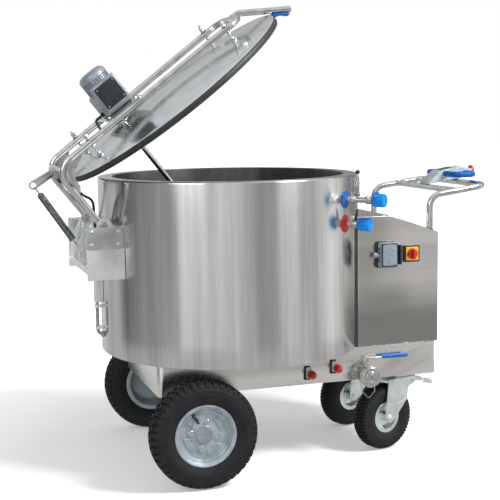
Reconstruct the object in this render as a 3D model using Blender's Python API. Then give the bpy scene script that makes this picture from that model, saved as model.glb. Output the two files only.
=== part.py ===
"""Milk taxi: a milk tank on four wheels with a sprung lid, an agitator and a push handle.

Metres, +Z up, +X towards the push handle, -Y towards the taps, floor at Z = 0.
Lid pieces are drawn with the lid shut and then swung open to the rest position.
"""
import bpy
import bmesh
from math import cos, hypot, pi, radians, sin, sqrt, tan
from mathutils import Matrix, Vector

for stray in list(bpy.data.objects):
    bpy.data.objects.remove(stray)

# Fits and sheet
GAP = 0.0003
SHEET = 0.002
TUBE_R = 0.0125

# Tank
TANK_X = -0.155
TANK_R = 0.505
TANK_FLOOR_Z = 0.434
TANK_RIM_Z = 1.100
RIM_WIDTH = 0.055
RIM_ROUND = 0.006
VESSEL_FLOOR_Z = 0.468
VESSEL_CORNER_R = 0.060
FLOOR_FALL = 0.020
SUMP_R = 0.0205

# Cabinet behind the tank, its seal strip and the battery inside
CABINET_LEFT = TANK_R - 0.076
CABINET_RIGHT = CABINET_LEFT + 0.341
CABINET_CREASE = CABINET_LEFT + 0.143
CABINET_TOP_Z = 0.937
CABINET_END_Z = 0.866
SEAL_STRIP = 0.008
BATTERY_X = CABINET_LEFT + 0.103
BATTERY_LENGTH = 0.170
BATTERY_W = 0.240
BATTERY_H = 0.205
POST_INSET_X = 0.028
POST_INSET_Y = 0.035

# Chassis tray
TRAY_LEFT = TANK_R - 0.143
TRAY_RIGHT = CABINET_RIGHT - 0.005
TRAY_HALF_W = 0.280
TRAY_BOTTOM_Z = 0.305
TRAY_CORNER_R = 0.022
TRAY_SHEET = 0.003
BEAM_WIDTH = 0.150
BEAM_SHEET = 0.004

# Drive wheels
DRIVE_TYRE_R = 0.198
DRIVE_TYRE_W = 0.100
DRIVE_LUGS = 16
DRIVE_LUG_DEPTH = 0.008
DRIVE_AXLE_X = 0.129 - TRAY_LEFT
DRIVE_TRACK_HALF = 0.420
RIM_SEAT_R = 0.1016
RIM_FLANGE_R = 0.114
RIM_HALF_W = 0.040
RIM_SHEET = 0.0035
BOLT_CIRCLE_R = 0.050
AXLE_STUB_R = 0.0125
AXLE_TUBE_R = 0.030

# Castors
CASTOR_TYRE_R = 0.130
CASTOR_TYRE_W = 0.075
CASTOR_LUGS = 12
CASTOR_LUG_DEPTH = 0.006
CASTOR_X = TRAY_RIGHT - 0.117
CASTOR_HALF_Y = 0.180
CASTOR_TRAIL = 0.086
CASTOR_SWIVEL = radians(17.0)
CASTOR_SEAT_R = 0.050
CASTOR_FLANGE_R = 0.062
CASTOR_RIM_HALF_W = 0.030
CASTOR_PLATE_T = 0.005
FORK_SHEET = 0.004
FORK_GAP = 0.006
CASTOR_PIN_R = 0.006
PEDAL_REACH = 0.165

# Push handle and control head
HANDLE_BASE_X = CABINET_RIGHT - 0.030
HANDLE_RUN = 0.245
HANDLE_RISE = 0.034
HANDLE_END_X = HANDLE_BASE_X + HANDLE_RUN
HANDLE_HALF_W = 0.264
HANDLE_KNEE_Z = 1.006
HANDLE_END_Z = HANDLE_KNEE_Z + HANDLE_RISE
HANDLE_BEND_R = 0.050
CROSS_TUBE_X = HANDLE_END_X - 0.130
HEAD_HALF_W = 0.040
HEAD_END_X = HANDLE_END_X + 0.065
LOOP_R = 0.012
LOOP_REACH = 0.125
STOP_TRAVEL = 0.008
KEY_TRAVEL = 0.004

# Lid and its hinge
PIVOT_X = -(TANK_R + 0.019)
PIVOT_Z = 0.940
LID_OPEN = radians(38.0)
LID_Z = TANK_RIM_Z + 0.001
LID_R = TANK_R - 0.018
SEAL_H = 0.022
SEAL_W = 0.028
DOME_RISE = 0.045
LEG_HALF_Y = 0.145
LEG_H = 0.097
LEG_END = LID_R - 0.122
ARM_X = -(TANK_R + 0.025)
ARM_BEND_R = 0.062
STUD_LEFT = -(LID_R - 0.119)
STUD_RIGHT = LID_R - 0.197
STUD_R = 0.005
HINGE_AXLE_R = 0.010
LEVER_EYE = (-(TANK_R + 0.113), 1.191)
PULL_END = (LID_R + 0.100, -0.020)
LEVER_T = 0.006
EYE_HOLE_R = 0.010
EYE_BAR_R = 0.017
EYE_RING_R = 0.0095

# Cables on the lid and the seat of its motor
CABLE_R = 0.005
CABLE_Y = LEG_HALF_Y - TUBE_R - CABLE_R - GAP
ARM_CABLE_Z = 1.097
LEG_Z = LID_Z + LEG_H

# Hinge bracket
BRACKET_HALF_W = 0.212
BRACKET_SHEET = 0.004
BRACKET_LEFT = -(TANK_R + 0.092)
BRACKET_TOP_Z = 0.935
BRACKET_BOTTOM_Z = 0.742
CHEEK_Y = 0.182
COVER_H = 0.080

# Spring
SPRING_FOOT = (-(TANK_R + 0.085), 0.839)
SPRING_R = 0.0135
SPRING_WIRE_R = 0.0016
SPRING_TURNS = 12
HOOK_R = 0.0125
HOOK_WIRE_R = 0.002

# Agitator and gearmotor
SHAFT_T = -0.207
SHAFT_R = 0.010
PADDLE_TIP_Z = 0.520
PADDLE_HALF_SPAN = 0.150
MOTOR_T = -0.190
MOTOR_W = 0.120
MOTOR_H = 0.190
MOTOR_PLATE_T = 0.006
MOTOR_SEAT_H = LEG_H + 0.008 + MOTOR_PLATE_T + GAP

# Outlet
OUTLET_X = CABINET_LEFT + 0.031
OUTLET_Z = 0.324
OUTLET_PIPE_R = 0.0205
OUTLET_CAP_R = 0.040
OUTLET_CAP_H = 0.024
VALVE_LEN = 0.046
LEVER_Z = 0.400

# Tank fittings, as azimuths from +X towards the taps
INLET_AZ = radians(-48.0)
BLUE_INLET_Z = 1.015
RED_INLET_Z = 0.925
INLET_PIPE_R = 0.011
ROSETTE_R = 0.033
BLUE_REACH = 0.140
RED_REACH = 0.082
INLET_CAP_R = 0.025
LATCH_AZ = radians(-35.0)
LATCH_FOOT_Z = 1.012

# Front items of the cabinet and tray
DRAINS = ((CABINET_LEFT - 0.200, 0.346), (CABINET_LEFT - 0.094, 0.362))
SOCKET_X = CABINET_LEFT + 0.114
SOCKET_Z = 0.790
ISOLATOR_X = CABINET_LEFT + 0.224
ISOLATOR_Z = 0.787


def at(x, y, z):
    """World point from a place measured from the tank's axis."""
    return Vector((TANK_X + x, y, z))


def lid_at(t, y, h):
    """World point with the lid shut, t along the lid from its centre and h above the tank rim."""
    return Vector((TANK_X + t, y, LID_Z + h))


PIVOT = at(PIVOT_X, 0, PIVOT_Z)
OPENING = Matrix.Translation(PIVOT) @ Matrix.Rotation(-LID_OPEN, 4, "Y") @ Matrix.Translation(-PIVOT)


def facing(direction, place):
    """Matrix whose local Z points along a direction, at a place."""
    turn = Vector(direction).to_track_quat("Z", "Y").to_matrix().to_4x4()
    return Matrix.Translation(place) @ turn


def round_fit(radius, count):
    """Bore radius in which a faceted pin of this radius can turn."""
    return (radius + GAP) / cos(pi / count)


def ring_points(radius, count, start=0.0):
    angles = [start + 2 * pi * i / count for i in range(count)]
    return [(radius * cos(a), radius * sin(a)) for a in angles]


def moved(part, matrix):
    verts, faces = part
    return [matrix @ Vector(v) for v in verts], faces


def revolve(profile, count, place=Matrix.Identity(4), radius_of=None):
    """Turn a profile of (radius, height) about local Z; points of zero radius become poles."""
    verts = []
    rings = []
    for radius, height in profile:
        if radius == 0:
            rings.append([len(verts)])
            verts.append(place @ Vector((0, 0, height)))
            continue
        ring = []
        for i in range(count):
            angle = 2 * pi * (i + 0.5) / count
            reach = radius_of(radius, i) if radius_of else radius
            ring.append(len(verts))
            verts.append(place @ Vector((reach * cos(angle), reach * sin(angle), height)))
        rings.append(ring)
    faces = []
    closed = profile[0][0] > 0
    pairs = list(zip(rings, rings[1:]))
    if closed:
        pairs.append((rings[-1], rings[0]))
    for low, high in pairs:
        for i in range(count):
            j = (i + 1) % count
            if len(low) == 1 and len(high) == 1:
                continue
            if len(low) == 1:
                faces.append([low[0], high[j], high[i]])
            elif len(high) == 1:
                faces.append([low[i], low[j], high[0]])
            else:
                faces.append([low[i], low[j], high[j], high[i]])
    return verts, faces


def cylinder(start, end, radius, count=16):
    start = Vector(start)
    end = Vector(end)
    length = (end - start).length
    return revolve([(0, 0), (radius, 0), (radius, length), (0, length)], count, facing(end - start, start))


def prism(outline, low, high, plane="XZ"):
    """Extrude a closed outline, drawn in one plane, between two depths along the third axis."""
    order = {"XZ": (0, 2, 1), "XY": (0, 1, 2), "YZ": (2, 0, 1)}[plane]

    def spot(a, b, depth):
        return Vector([(a, b, depth)[i] for i in order])

    count = len(outline)
    verts = [spot(a, b, low) for a, b in outline] + [spot(a, b, high) for a, b in outline]
    faces = [list(range(count)), list(range(count, 2 * count))]
    for i in range(count):
        j = (i + 1) % count
        faces.append([i, j, count + j, count + i])
    return verts, faces


def block(low, high, bevel=0.0):
    """Box between two corners with rounded upright edges."""
    outline = rounded([(low[0], low[1]), (high[0], low[1]), (high[0], high[1]), (low[0], high[1])], bevel, 3)
    return prism(outline, low[2], high[2], "XY")


def rounded(corners, radius, steps=4, closed=True):
    """Replace the corners of a flat or spatial polyline by arcs of one radius."""
    if radius <= 0:
        return [tuple(c) for c in corners]
    size = len(corners[0])
    points = [Vector(tuple(c) + (0,) * (3 - size)) for c in corners]
    count = len(points)
    result = []
    for i, here in enumerate(points):
        if not closed and i in (0, count - 1):
            result.append(here)
            continue
        back = (points[i - 1] - here).normalized()
        ahead = (points[(i + 1) % count] - here).normalized()
        half = back.angle(ahead) / 2
        if half > radians(89):
            result.append(here)
            continue
        setback = radius / tan(half)
        centre = here + (back + ahead).normalized() * (radius / sin(half))
        first = here + back * setback - centre
        last = here + ahead * setback - centre
        sweep_angle = first.angle(last)
        axis = first.cross(last).normalized()
        for k in range(steps + 1):
            result.append(centre + Matrix.Rotation(sweep_angle * k / steps, 3, axis) @ first)
    return [tuple(p[:size]) for p in result]


def sweep(path, radius, count=12, closed=False):
    """Round bar or tube outside along a path, with the section carried without twist."""
    points = [Vector(p) for p in path]
    total = len(points)
    rings = []
    verts = []
    previous = None
    for i, here in enumerate(points):
        if closed:
            along = (points[(i + 1) % total] - points[i - 1]).normalized()
        else:
            along = (points[min(i + 1, total - 1)] - points[max(i - 1, 0)]).normalized()
        if previous is None:
            side = along.orthogonal().normalized()
        else:
            side = (previous - along * previous.dot(along)).normalized()
        previous = side
        other = along.cross(side)
        ring = []
        for k in range(count):
            angle = 2 * pi * k / count
            ring.append(len(verts))
            verts.append(here + side * (radius * cos(angle)) + other * (radius * sin(angle)))
        rings.append(ring)
    faces = []
    pairs = list(zip(rings, rings[1:]))
    if closed:
        pairs.append((rings[-1], rings[0]))
    else:
        faces.append(list(reversed(rings[0])))
        faces.append(list(rings[-1]))
    for low, high in pairs:
        for k in range(count):
            m = (k + 1) % count
            faces.append([low[k], low[m], high[m], high[k]])
    return verts, faces


def ring_path(centre, radius, across, count=20):
    """Points of a circle about a centre, in the plane square to a direction."""
    place = facing(across, centre)
    return [place @ Vector((x, y, 0)) for x, y in ring_points(radius, count)]


def mesh_object(name, part):
    verts, faces = part
    mesh = bpy.data.meshes.new(name)
    mesh.from_pydata([tuple(v) for v in verts], [], faces)
    work = bmesh.new()
    work.from_mesh(mesh)
    bmesh.ops.recalc_face_normals(work, faces=work.faces)
    work.to_mesh(mesh)
    work.free()
    obj = bpy.data.objects.new(name, mesh)
    bpy.context.scene.collection.objects.link(obj)
    return obj


def fused(solids, holes=()):
    """Join solids that overlap into one, and cut holes in it."""
    base = mesh_object("work", solids[0])
    steps = [(part, "UNION") for part in solids[1:]] + [(part, "DIFFERENCE") for part in holes]
    for part, operation in steps:
        tool = mesh_object("tool", part)
        modifier = base.modifiers.new("join", "BOOLEAN")
        modifier.solver = "EXACT"
        modifier.operation = operation
        modifier.object = tool
        view = bpy.context.evaluated_depsgraph_get()
        mesh = bpy.data.meshes.new_from_object(base.evaluated_get(view))
        base.modifiers.clear()
        old = base.data
        base.data = mesh
        bpy.data.meshes.remove(old)
        bpy.data.objects.remove(tool)
    work = bmesh.new()
    work.from_mesh(base.data)
    bmesh.ops.remove_doubles(work, verts=work.verts, dist=0.00002)
    bmesh.ops.dissolve_degenerate(work, edges=work.edges, dist=0.00001)
    work.to_mesh(base.data)
    work.free()
    verts = [v.co.copy() for v in base.data.vertices]
    faces = [list(p.vertices) for p in base.data.polygons]
    bpy.data.objects.remove(base)
    return verts, faces


def finish(name, part, look, origin=None):
    """Make the named object with its own material and its origin on its joint axis."""
    origin = Vector(origin) if origin is not None else Vector((0, 0, 0))
    obj = mesh_object(name, moved(part, Matrix.Translation(-origin)))
    obj.location = origin
    colour, roughness, metallic = look
    material = bpy.data.materials.new(name)
    material.use_nodes = True
    shader = material.node_tree.nodes["Principled BSDF"]
    shader.inputs["Base Color"].default_value = (*colour, 1.0)
    shader.inputs["Roughness"].default_value = roughness
    shader.inputs["Metallic"].default_value = metallic
    obj.data.materials.append(material)
    for face in obj.data.polygons:
        face.use_smooth = True
    obj.data.set_sharp_from_angle(angle=radians(32))
    return obj


def lid_piece(name, part, look, origin=None):
    """Swing a piece drawn on the shut lid to the open rest position."""
    hub = OPENING @ Vector(origin) if origin is not None else PIVOT
    return finish(name, moved(part, OPENING), look, hub)


STEEL = ((0.62, 0.63, 0.64), 0.25, 1.0)
SATIN = ((0.55, 0.54, 0.53), 0.40, 1.0)
ZINC = ((0.58, 0.61, 0.62), 0.35, 1.0)
FOAM = ((0.80, 0.72, 0.45), 0.90, 0.0)
RUBBER = ((0.025, 0.027, 0.030), 0.80, 0.0)
SILVER_PAINT = ((0.45, 0.50, 0.51), 0.45, 0.3)
GREY_CAST = ((0.25, 0.32, 0.37), 0.50, 0.2)
MOTOR_GREY = ((0.21, 0.25, 0.28), 0.50, 0.2)
BLACK = ((0.02, 0.02, 0.022), 0.50, 0.0)
BLUE = ((0.01, 0.23, 0.72), 0.40, 0.0)
DEEP_BLUE = ((0.01, 0.10, 0.45), 0.40, 0.0)
RED = ((0.60, 0.02, 0.02), 0.40, 0.0)
YELLOW = ((0.88, 0.47, 0.04), 0.45, 0.0)
HEAD_GREY = ((0.36, 0.42, 0.47), 0.45, 0.0)


# Tank: jacket, foam and vessel share one facet count so their walls stay parallel
TANK_FACETS = 48
FACET = 2 * pi / TANK_FACETS
FLAT_R = TANK_R * cos(FACET / 2)
VESSEL_R = TANK_R - RIM_WIDTH
TANK_AXIS = Matrix.Translation(at(0, 0, 0)) @ Matrix.Rotation(FACET / 2, 4, "Z")


def wall_corners(half_w):
    """Places across the tank of the corners between its flats, within a half width."""
    corners = [TANK_R * sin(FACET * k) for k in range(-TANK_FACETS // 4, TANK_FACETS // 4 + 1)]
    return [y for y in corners if abs(y) < half_w - 0.005]


def tank_edge(y):
    """Distance of the tank wall from the tank's axis, along X, at a place across it."""
    flats = [FACET * (k + 0.5) for k in range(8)]
    return min((FLAT_R - abs(y) * sin(a)) / cos(a) for a in flats)


def build_tank():
    hole = SUMP_R + 0.001
    inner = TANK_R - SHEET
    jacket = [
        (hole, TANK_FLOOR_Z),
        (TANK_R, TANK_FLOOR_Z),
        (TANK_R, TANK_RIM_Z - RIM_ROUND),
        (TANK_R - RIM_ROUND, TANK_RIM_Z),
        (VESSEL_R + GAP, TANK_RIM_Z),
        (VESSEL_R + GAP, TANK_RIM_Z - SHEET),
        (TANK_R - RIM_ROUND, TANK_RIM_Z - SHEET),
        (inner, TANK_RIM_Z - RIM_ROUND),
        (inner, TANK_FLOOR_Z + SHEET),
        (hole, TANK_FLOOR_Z + SHEET),
    ]
    finish("tank_jacket", revolve(jacket, TANK_FACETS, TANK_AXIS), STEEL)

    corner_r = VESSEL_R - VESSEL_CORNER_R
    corner_z = VESSEL_FLOOR_Z + FLOOR_FALL + VESSEL_CORNER_R
    wet = [(VESSEL_R - SHEET, TANK_RIM_Z)]
    dry = [(VESSEL_R, TANK_RIM_Z)]
    for step in range(4):
        angle = radians(30) * step
        for line, reach in ((wet, VESSEL_CORNER_R - SHEET), (dry, VESSEL_CORNER_R)):
            line.append((corner_r + reach * cos(angle), corner_z - reach * sin(angle)))
    wet.append((SUMP_R - SHEET, VESSEL_FLOOR_Z + SHEET))
    dry.append((SUMP_R - SHEET, VESSEL_FLOOR_Z))
    finish("tank_vessel", revolve(wet + dry[::-1], TANK_FACETS, TANK_AXIS), STEEL)

    chamfer = (VESSEL_CORNER_R + GAP) * tan(radians(22.5))
    foam = [
        (VESSEL_R + GAP, TANK_RIM_Z - SHEET - GAP),
        (VESSEL_R + GAP, corner_z - chamfer),
        (corner_r + chamfer, corner_z - VESSEL_CORNER_R - GAP),
        (hole, VESSEL_FLOOR_Z - GAP),
        (hole, TANK_FLOOR_Z + SHEET + GAP),
        (inner - GAP, TANK_FLOOR_Z + SHEET + GAP),
        (inner - GAP, TANK_RIM_Z - RIM_ROUND - GAP),
        (TANK_R - RIM_ROUND - GAP, TANK_RIM_Z - SHEET - GAP),
    ]
    finish("tank_insulation", revolve(foam, TANK_FACETS, TANK_AXIS), FOAM)


# Chassis: a folded tray with two channels across it
DECK_TOP_Z = TANK_FLOOR_Z - GAP
DECK_UNDER_Z = DECK_TOP_Z - TRAY_SHEET
OUTLET_AXIS = at(OUTLET_X, -TRAY_HALF_W, OUTLET_Z)


def tray_outline(inset):
    left = TANK_X - TRAY_LEFT + inset
    right = TANK_X + TRAY_RIGHT - inset
    half = TRAY_HALF_W - inset
    return rounded([(left, -half), (right, -half), (right, half), (left, half)], TRAY_CORNER_R - inset, 3)


def channel(x, width):
    """Channel folded from sheet and welded across the tray under the deck."""
    low = TRAY_BOTTOM_Z
    high = DECK_UNDER_Z + TRAY_SHEET / 2
    left = TANK_X + x - width / 2
    right = TANK_X + x + width / 2
    t = BEAM_SHEET
    outline = [(left, low), (right, low), (right, high), (right - t, high)]
    outline += [(right - t, low + t), (left + t, low + t), (left + t, high), (left, high)]
    half = TRAY_HALF_W - TRAY_SHEET / 2
    return prism(outline, -half, half)


def build_chassis():
    shell = prism(tray_outline(0), TRAY_BOTTOM_Z, DECK_TOP_Z, "XY")
    inside = prism(tray_outline(TRAY_SHEET), TRAY_BOTTOM_Z - 0.01, DECK_UNDER_Z, "XY")
    sump_hole = cylinder(at(0, 0, DECK_UNDER_Z - 0.01), at(0, 0, DECK_TOP_Z + 0.01), SUMP_R + 0.001, 16)
    away = Vector((0, 0.02, 0))
    outlet_hole = cylinder(OUTLET_AXIS - away, OUTLET_AXIS + away, OUTLET_PIPE_R + 0.001, 16)
    tray = fused([shell], [inside, sump_hole, outlet_hole])
    beams = [channel(DRIVE_AXLE_X, BEAM_WIDTH * 0.8), channel(CASTOR_X, BEAM_WIDTH)]
    drop = Vector((0, 0, 0.01))
    ends = [at(x, 0, TRAY_BOTTOM_Z) for x in (DRIVE_AXLE_X, CASTOR_X)]
    holes = [cylinder(end - drop, end + drop, 0.030, 14) for end in ends]
    finish("chassis_tray", fused([tray] + beams + castor_seat(-1) + castor_seat(1), holes), SATIN)


def castor_seat(side):
    """Plate under the castor beam, with its four bolt heads."""
    x = TANK_X + CASTOR_X
    y = side * CASTOR_HALF_Y
    low = TRAY_BOTTOM_Z - CASTOR_PLATE_T
    plate = block((x - 0.0675, y - 0.055, low), (x + 0.0675, y + 0.055, TRAY_BOTTOM_Z + 0.001), 0.008)
    spots = [(x + a * 0.052, y + b * 0.042) for a in (-1, 1) for b in (-1, 1)]
    return [plate] + [cylinder((*spot, low - 0.006), (*spot, low + 0.001), 0.007, 6) for spot in spots]


# Wheels: three facet rings make one tread lug, so a lug face lies flat on the floor
def standing_height(radius, lugs):
    return radius * cos(pi / (3 * lugs))


DRIVE_Z = standing_height(DRIVE_TYRE_R, DRIVE_LUGS)
CASTOR_Z = standing_height(CASTOR_TYRE_R, CASTOR_LUGS)


def tyre(radius, width, seat_r, flange_r, seat_half, lugs, lug_depth, place):
    """Solid ring tyre with cross lugs and bulged walls."""
    half = width / 2
    side = [
        (seat_r + GAP, seat_half - GAP),
        (flange_r + 0.002, seat_half - GAP),
        (flange_r + 0.4 * (radius - flange_r), half),
        (radius, half * 0.78),
    ]
    profile = side + [(r, -h) for r, h in reversed(side)]

    def lug(reach, ring):
        low = radius - lug_depth
        return low if reach > low and ring % 3 == 1 else reach

    return revolve(profile, 3 * lugs, place, lug)


def drive_wheel(side, label):
    centre = at(DRIVE_AXLE_X, side * DRIVE_TRACK_HALF, DRIVE_Z)
    place = facing((0, side, 0), centre)
    seat_half = RIM_HALF_W - RIM_SHEET
    seat = (RIM_SEAT_R, RIM_FLANGE_R, seat_half)
    part = tyre(DRIVE_TYRE_R, DRIVE_TYRE_W, *seat, DRIVE_LUGS, DRIVE_LUG_DEPTH, place)
    finish("drive_tyre_" + label, part, RUBBER, centre)
    t = RIM_SHEET
    well_r = RIM_SEAT_R - 0.014
    hub_r = 0.030
    disc = 0.012
    bore = AXLE_STUB_R + GAP
    profile = [
        (0, disc + 0.008),
        (hub_r * 0.8, disc + 0.008),
        (hub_r, disc + t),
        (well_r - t, disc + t),
        (RIM_SEAT_R - t, 0.026),
        (RIM_SEAT_R - t, RIM_HALF_W),
        (RIM_FLANGE_R, RIM_HALF_W),
        (RIM_FLANGE_R, RIM_HALF_W - t),
        (RIM_SEAT_R, RIM_HALF_W - t),
        (RIM_SEAT_R, t - RIM_HALF_W),
        (RIM_FLANGE_R, t - RIM_HALF_W),
        (RIM_FLANGE_R, -RIM_HALF_W),
        (RIM_SEAT_R - t, -RIM_HALF_W),
        (well_r - t, -0.014),
        (well_r - t, disc),
        (hub_r, disc),
        (hub_r, -0.030),
        (bore, -0.030),
        (bore, disc),
        (0, disc),
    ]
    rim = revolve(profile, 24, place)
    head = cylinder((0, 0, 0), (0, 0, 0.007), 0.0085, 6)
    circle = ring_points(BOLT_CIRCLE_R, 4, radians(20))
    spots = [place @ Matrix.Translation((x, y, disc + t - 0.001)) for x, y in circle]
    bolts = [moved(head, spot) for spot in spots]
    finish("drive_rim_" + label, fused([rim] + bolts), SILVER_PAINT, centre)


def build_drive():
    for side, label in ((-1, "near"), (1, "far")):
        drive_wheel(side, label)
    centre = at(DRIVE_AXLE_X, 0, DRIVE_Z)
    shoulder = Vector((0, DRIVE_TRACK_HALF - 0.030 - GAP, 0))
    stub = Vector((0, DRIVE_TRACK_HALF + 0.012 - GAP, 0))
    case_half = Vector((0, 0.052, 0))
    motor_end = centre + Vector((0.230, 0, 0))
    solids = [
        cylinder(centre - shoulder, centre + shoulder, AXLE_TUBE_R, 12),
        cylinder(centre - stub, centre + stub, AXLE_STUB_R, 10),
        cylinder(centre - case_half, centre + case_half, 0.066, 16),
        cylinder(centre + Vector((0.020, 0, 0)), motor_end, 0.048, 12),
    ]
    top = TRAY_BOTTOM_Z - GAP
    for side in (-1, 1):
        y = side * 0.200
        solids.append(prism(bracket_outline(centre.x, top), y - 0.004, y + 0.004))
        foot = Vector((centre.x, y, top))
        solids.append(block(foot - Vector((0.050, 0.025, 0.006)), foot + Vector((0.050, 0.025, 0)), 0.006))
    finish("drive_axle", fused(solids), BLACK)


def bracket_outline(x, top):
    return [(x - 0.045, top - 0.002), (x + 0.045, top - 0.002), (x + 0.026, DRIVE_Z), (x - 0.026, DRIVE_Z)]


# Castors are drawn with the swivel pin on local Z and the wheel trailing to local -X
def castor(side, label):
    pin = at(CASTOR_X, side * CASTOR_HALF_Y, 0)
    place = Matrix.Translation(pin) @ Matrix.Rotation(CASTOR_SWIVEL, 4, "Z")
    hub = Vector((-CASTOR_TRAIL, 0, CASTOR_Z))
    turn = facing((0, -1, 0), hub)
    wheel_centre = place @ hub
    seat_half = CASTOR_RIM_HALF_W - 0.003
    seat = (CASTOR_SEAT_R, CASTOR_FLANGE_R, seat_half)
    part = tyre(CASTOR_TYRE_R, CASTOR_TYRE_W, *seat, CASTOR_LUGS, CASTOR_LUG_DEPTH, place @ turn)
    finish("castor_tyre_" + label, part, RUBBER, wheel_centre)

    leg_in = CASTOR_TYRE_W / 2 + FORK_GAP
    leg_out = leg_in + FORK_SHEET
    bore = CASTOR_PIN_R + GAP
    half_hub = leg_in - GAP
    side_line = [
        (bore, half_hub),
        (0.017, half_hub),
        (0.019, 0.003),
        (CASTOR_SEAT_R - 0.006, 0.003),
        (CASTOR_SEAT_R - 0.003, CASTOR_RIM_HALF_W),
        (CASTOR_FLANGE_R, CASTOR_RIM_HALF_W),
        (CASTOR_FLANGE_R, seat_half),
        (CASTOR_SEAT_R, seat_half),
    ]
    profile = side_line + [(r, -h) for r, h in reversed(side_line)]
    finish("castor_rim_" + label, revolve(profile, 16, place @ turn), ZINC, wheel_centre)

    plate_low = TRAY_BOTTOM_Z - CASTOR_PLATE_T
    head_top = plate_low - GAP
    crown_z = CASTOR_TYRE_R * 2 + 0.018
    leg = [(-0.050, crown_z + 0.005), (0.055, crown_z + 0.005), (0.050, crown_z - 0.024)]
    leg += [(hub.x + 0.017, hub.z - 0.010), (hub.x, hub.z - 0.020)]
    leg += [(hub.x - 0.018, hub.z - 0.009), (hub.x - 0.014, hub.z + 0.020)]
    pedal_pin = Vector((0.035, 0, crown_z - 0.014))
    across = Vector((0, leg_out + 0.006, 0))
    solids = [
        block((-0.050, -leg_out, crown_z), (0.055, leg_out, crown_z + 0.006), 0.010),
        prism(leg, -leg_out, -leg_in),
        prism(leg, leg_in, leg_out),
        cylinder(hub - across, hub + across, CASTOR_PIN_R, 10),
        cylinder((0, 0, crown_z + 0.002), (0, 0, head_top), 0.042, 16),
        cylinder(pedal_pin - across * 0.9, pedal_pin + across * 0.9, 0.003, 8),
    ]
    finish("castor_fork_" + label, moved(fused(solids), place), ZINC, pin + Vector((0, 0, crown_z)))

    reach = PEDAL_REACH
    z = pedal_pin.z
    tread = [(0.030, z + 0.003), (0.060, z + 0.006), (0.110, z - 0.002)]
    tread += [(reach, z - 0.020), (reach, z - 0.025)]
    tread += [(0.108, z - 0.008), (0.055, z - 0.002), (0.030, z - 0.006)]
    toe = [(0.112, -0.030), (reach, -0.026), (reach, 0.026), (0.112, 0.030)]
    half_boss = Vector((0, leg_in - GAP, 0))
    boss = cylinder(pedal_pin - half_boss, pedal_pin + half_boss, 0.007, 10)
    toe_part = moved(prism(toe, -0.002, 0.002, "XY"), Matrix.Translation((0, 0, z - 0.015)))
    middle = Matrix.Translation((0.138, 0, z - 0.015))
    lean = middle @ Matrix.Rotation(radians(20), 4, "Y") @ middle.inverted()
    pedal_bore = cylinder(pedal_pin - across * 1.2, pedal_pin + across * 1.2, 0.003 + GAP, 8)
    pedal = fused([prism(tread, -0.014, 0.014), boss, moved(toe_part, lean)], [pedal_bore])
    finish("castor_pedal_" + label, moved(pedal, place), ZINC, place @ pedal_pin)


def build_castors():
    castor(-1, "near")
    castor(1, "far")


# Milk line: sump pipe, pump and outlet valve with its lever and screw cap
PUMP_X = 0.220
PUMP_Z = 0.365
PUMP_R = 0.055
FRONT_Y = -TRAY_HALF_W
VALVE_FACE_Y = FRONT_Y - GAP
STEM_Y = FRONT_Y - 0.024


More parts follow.
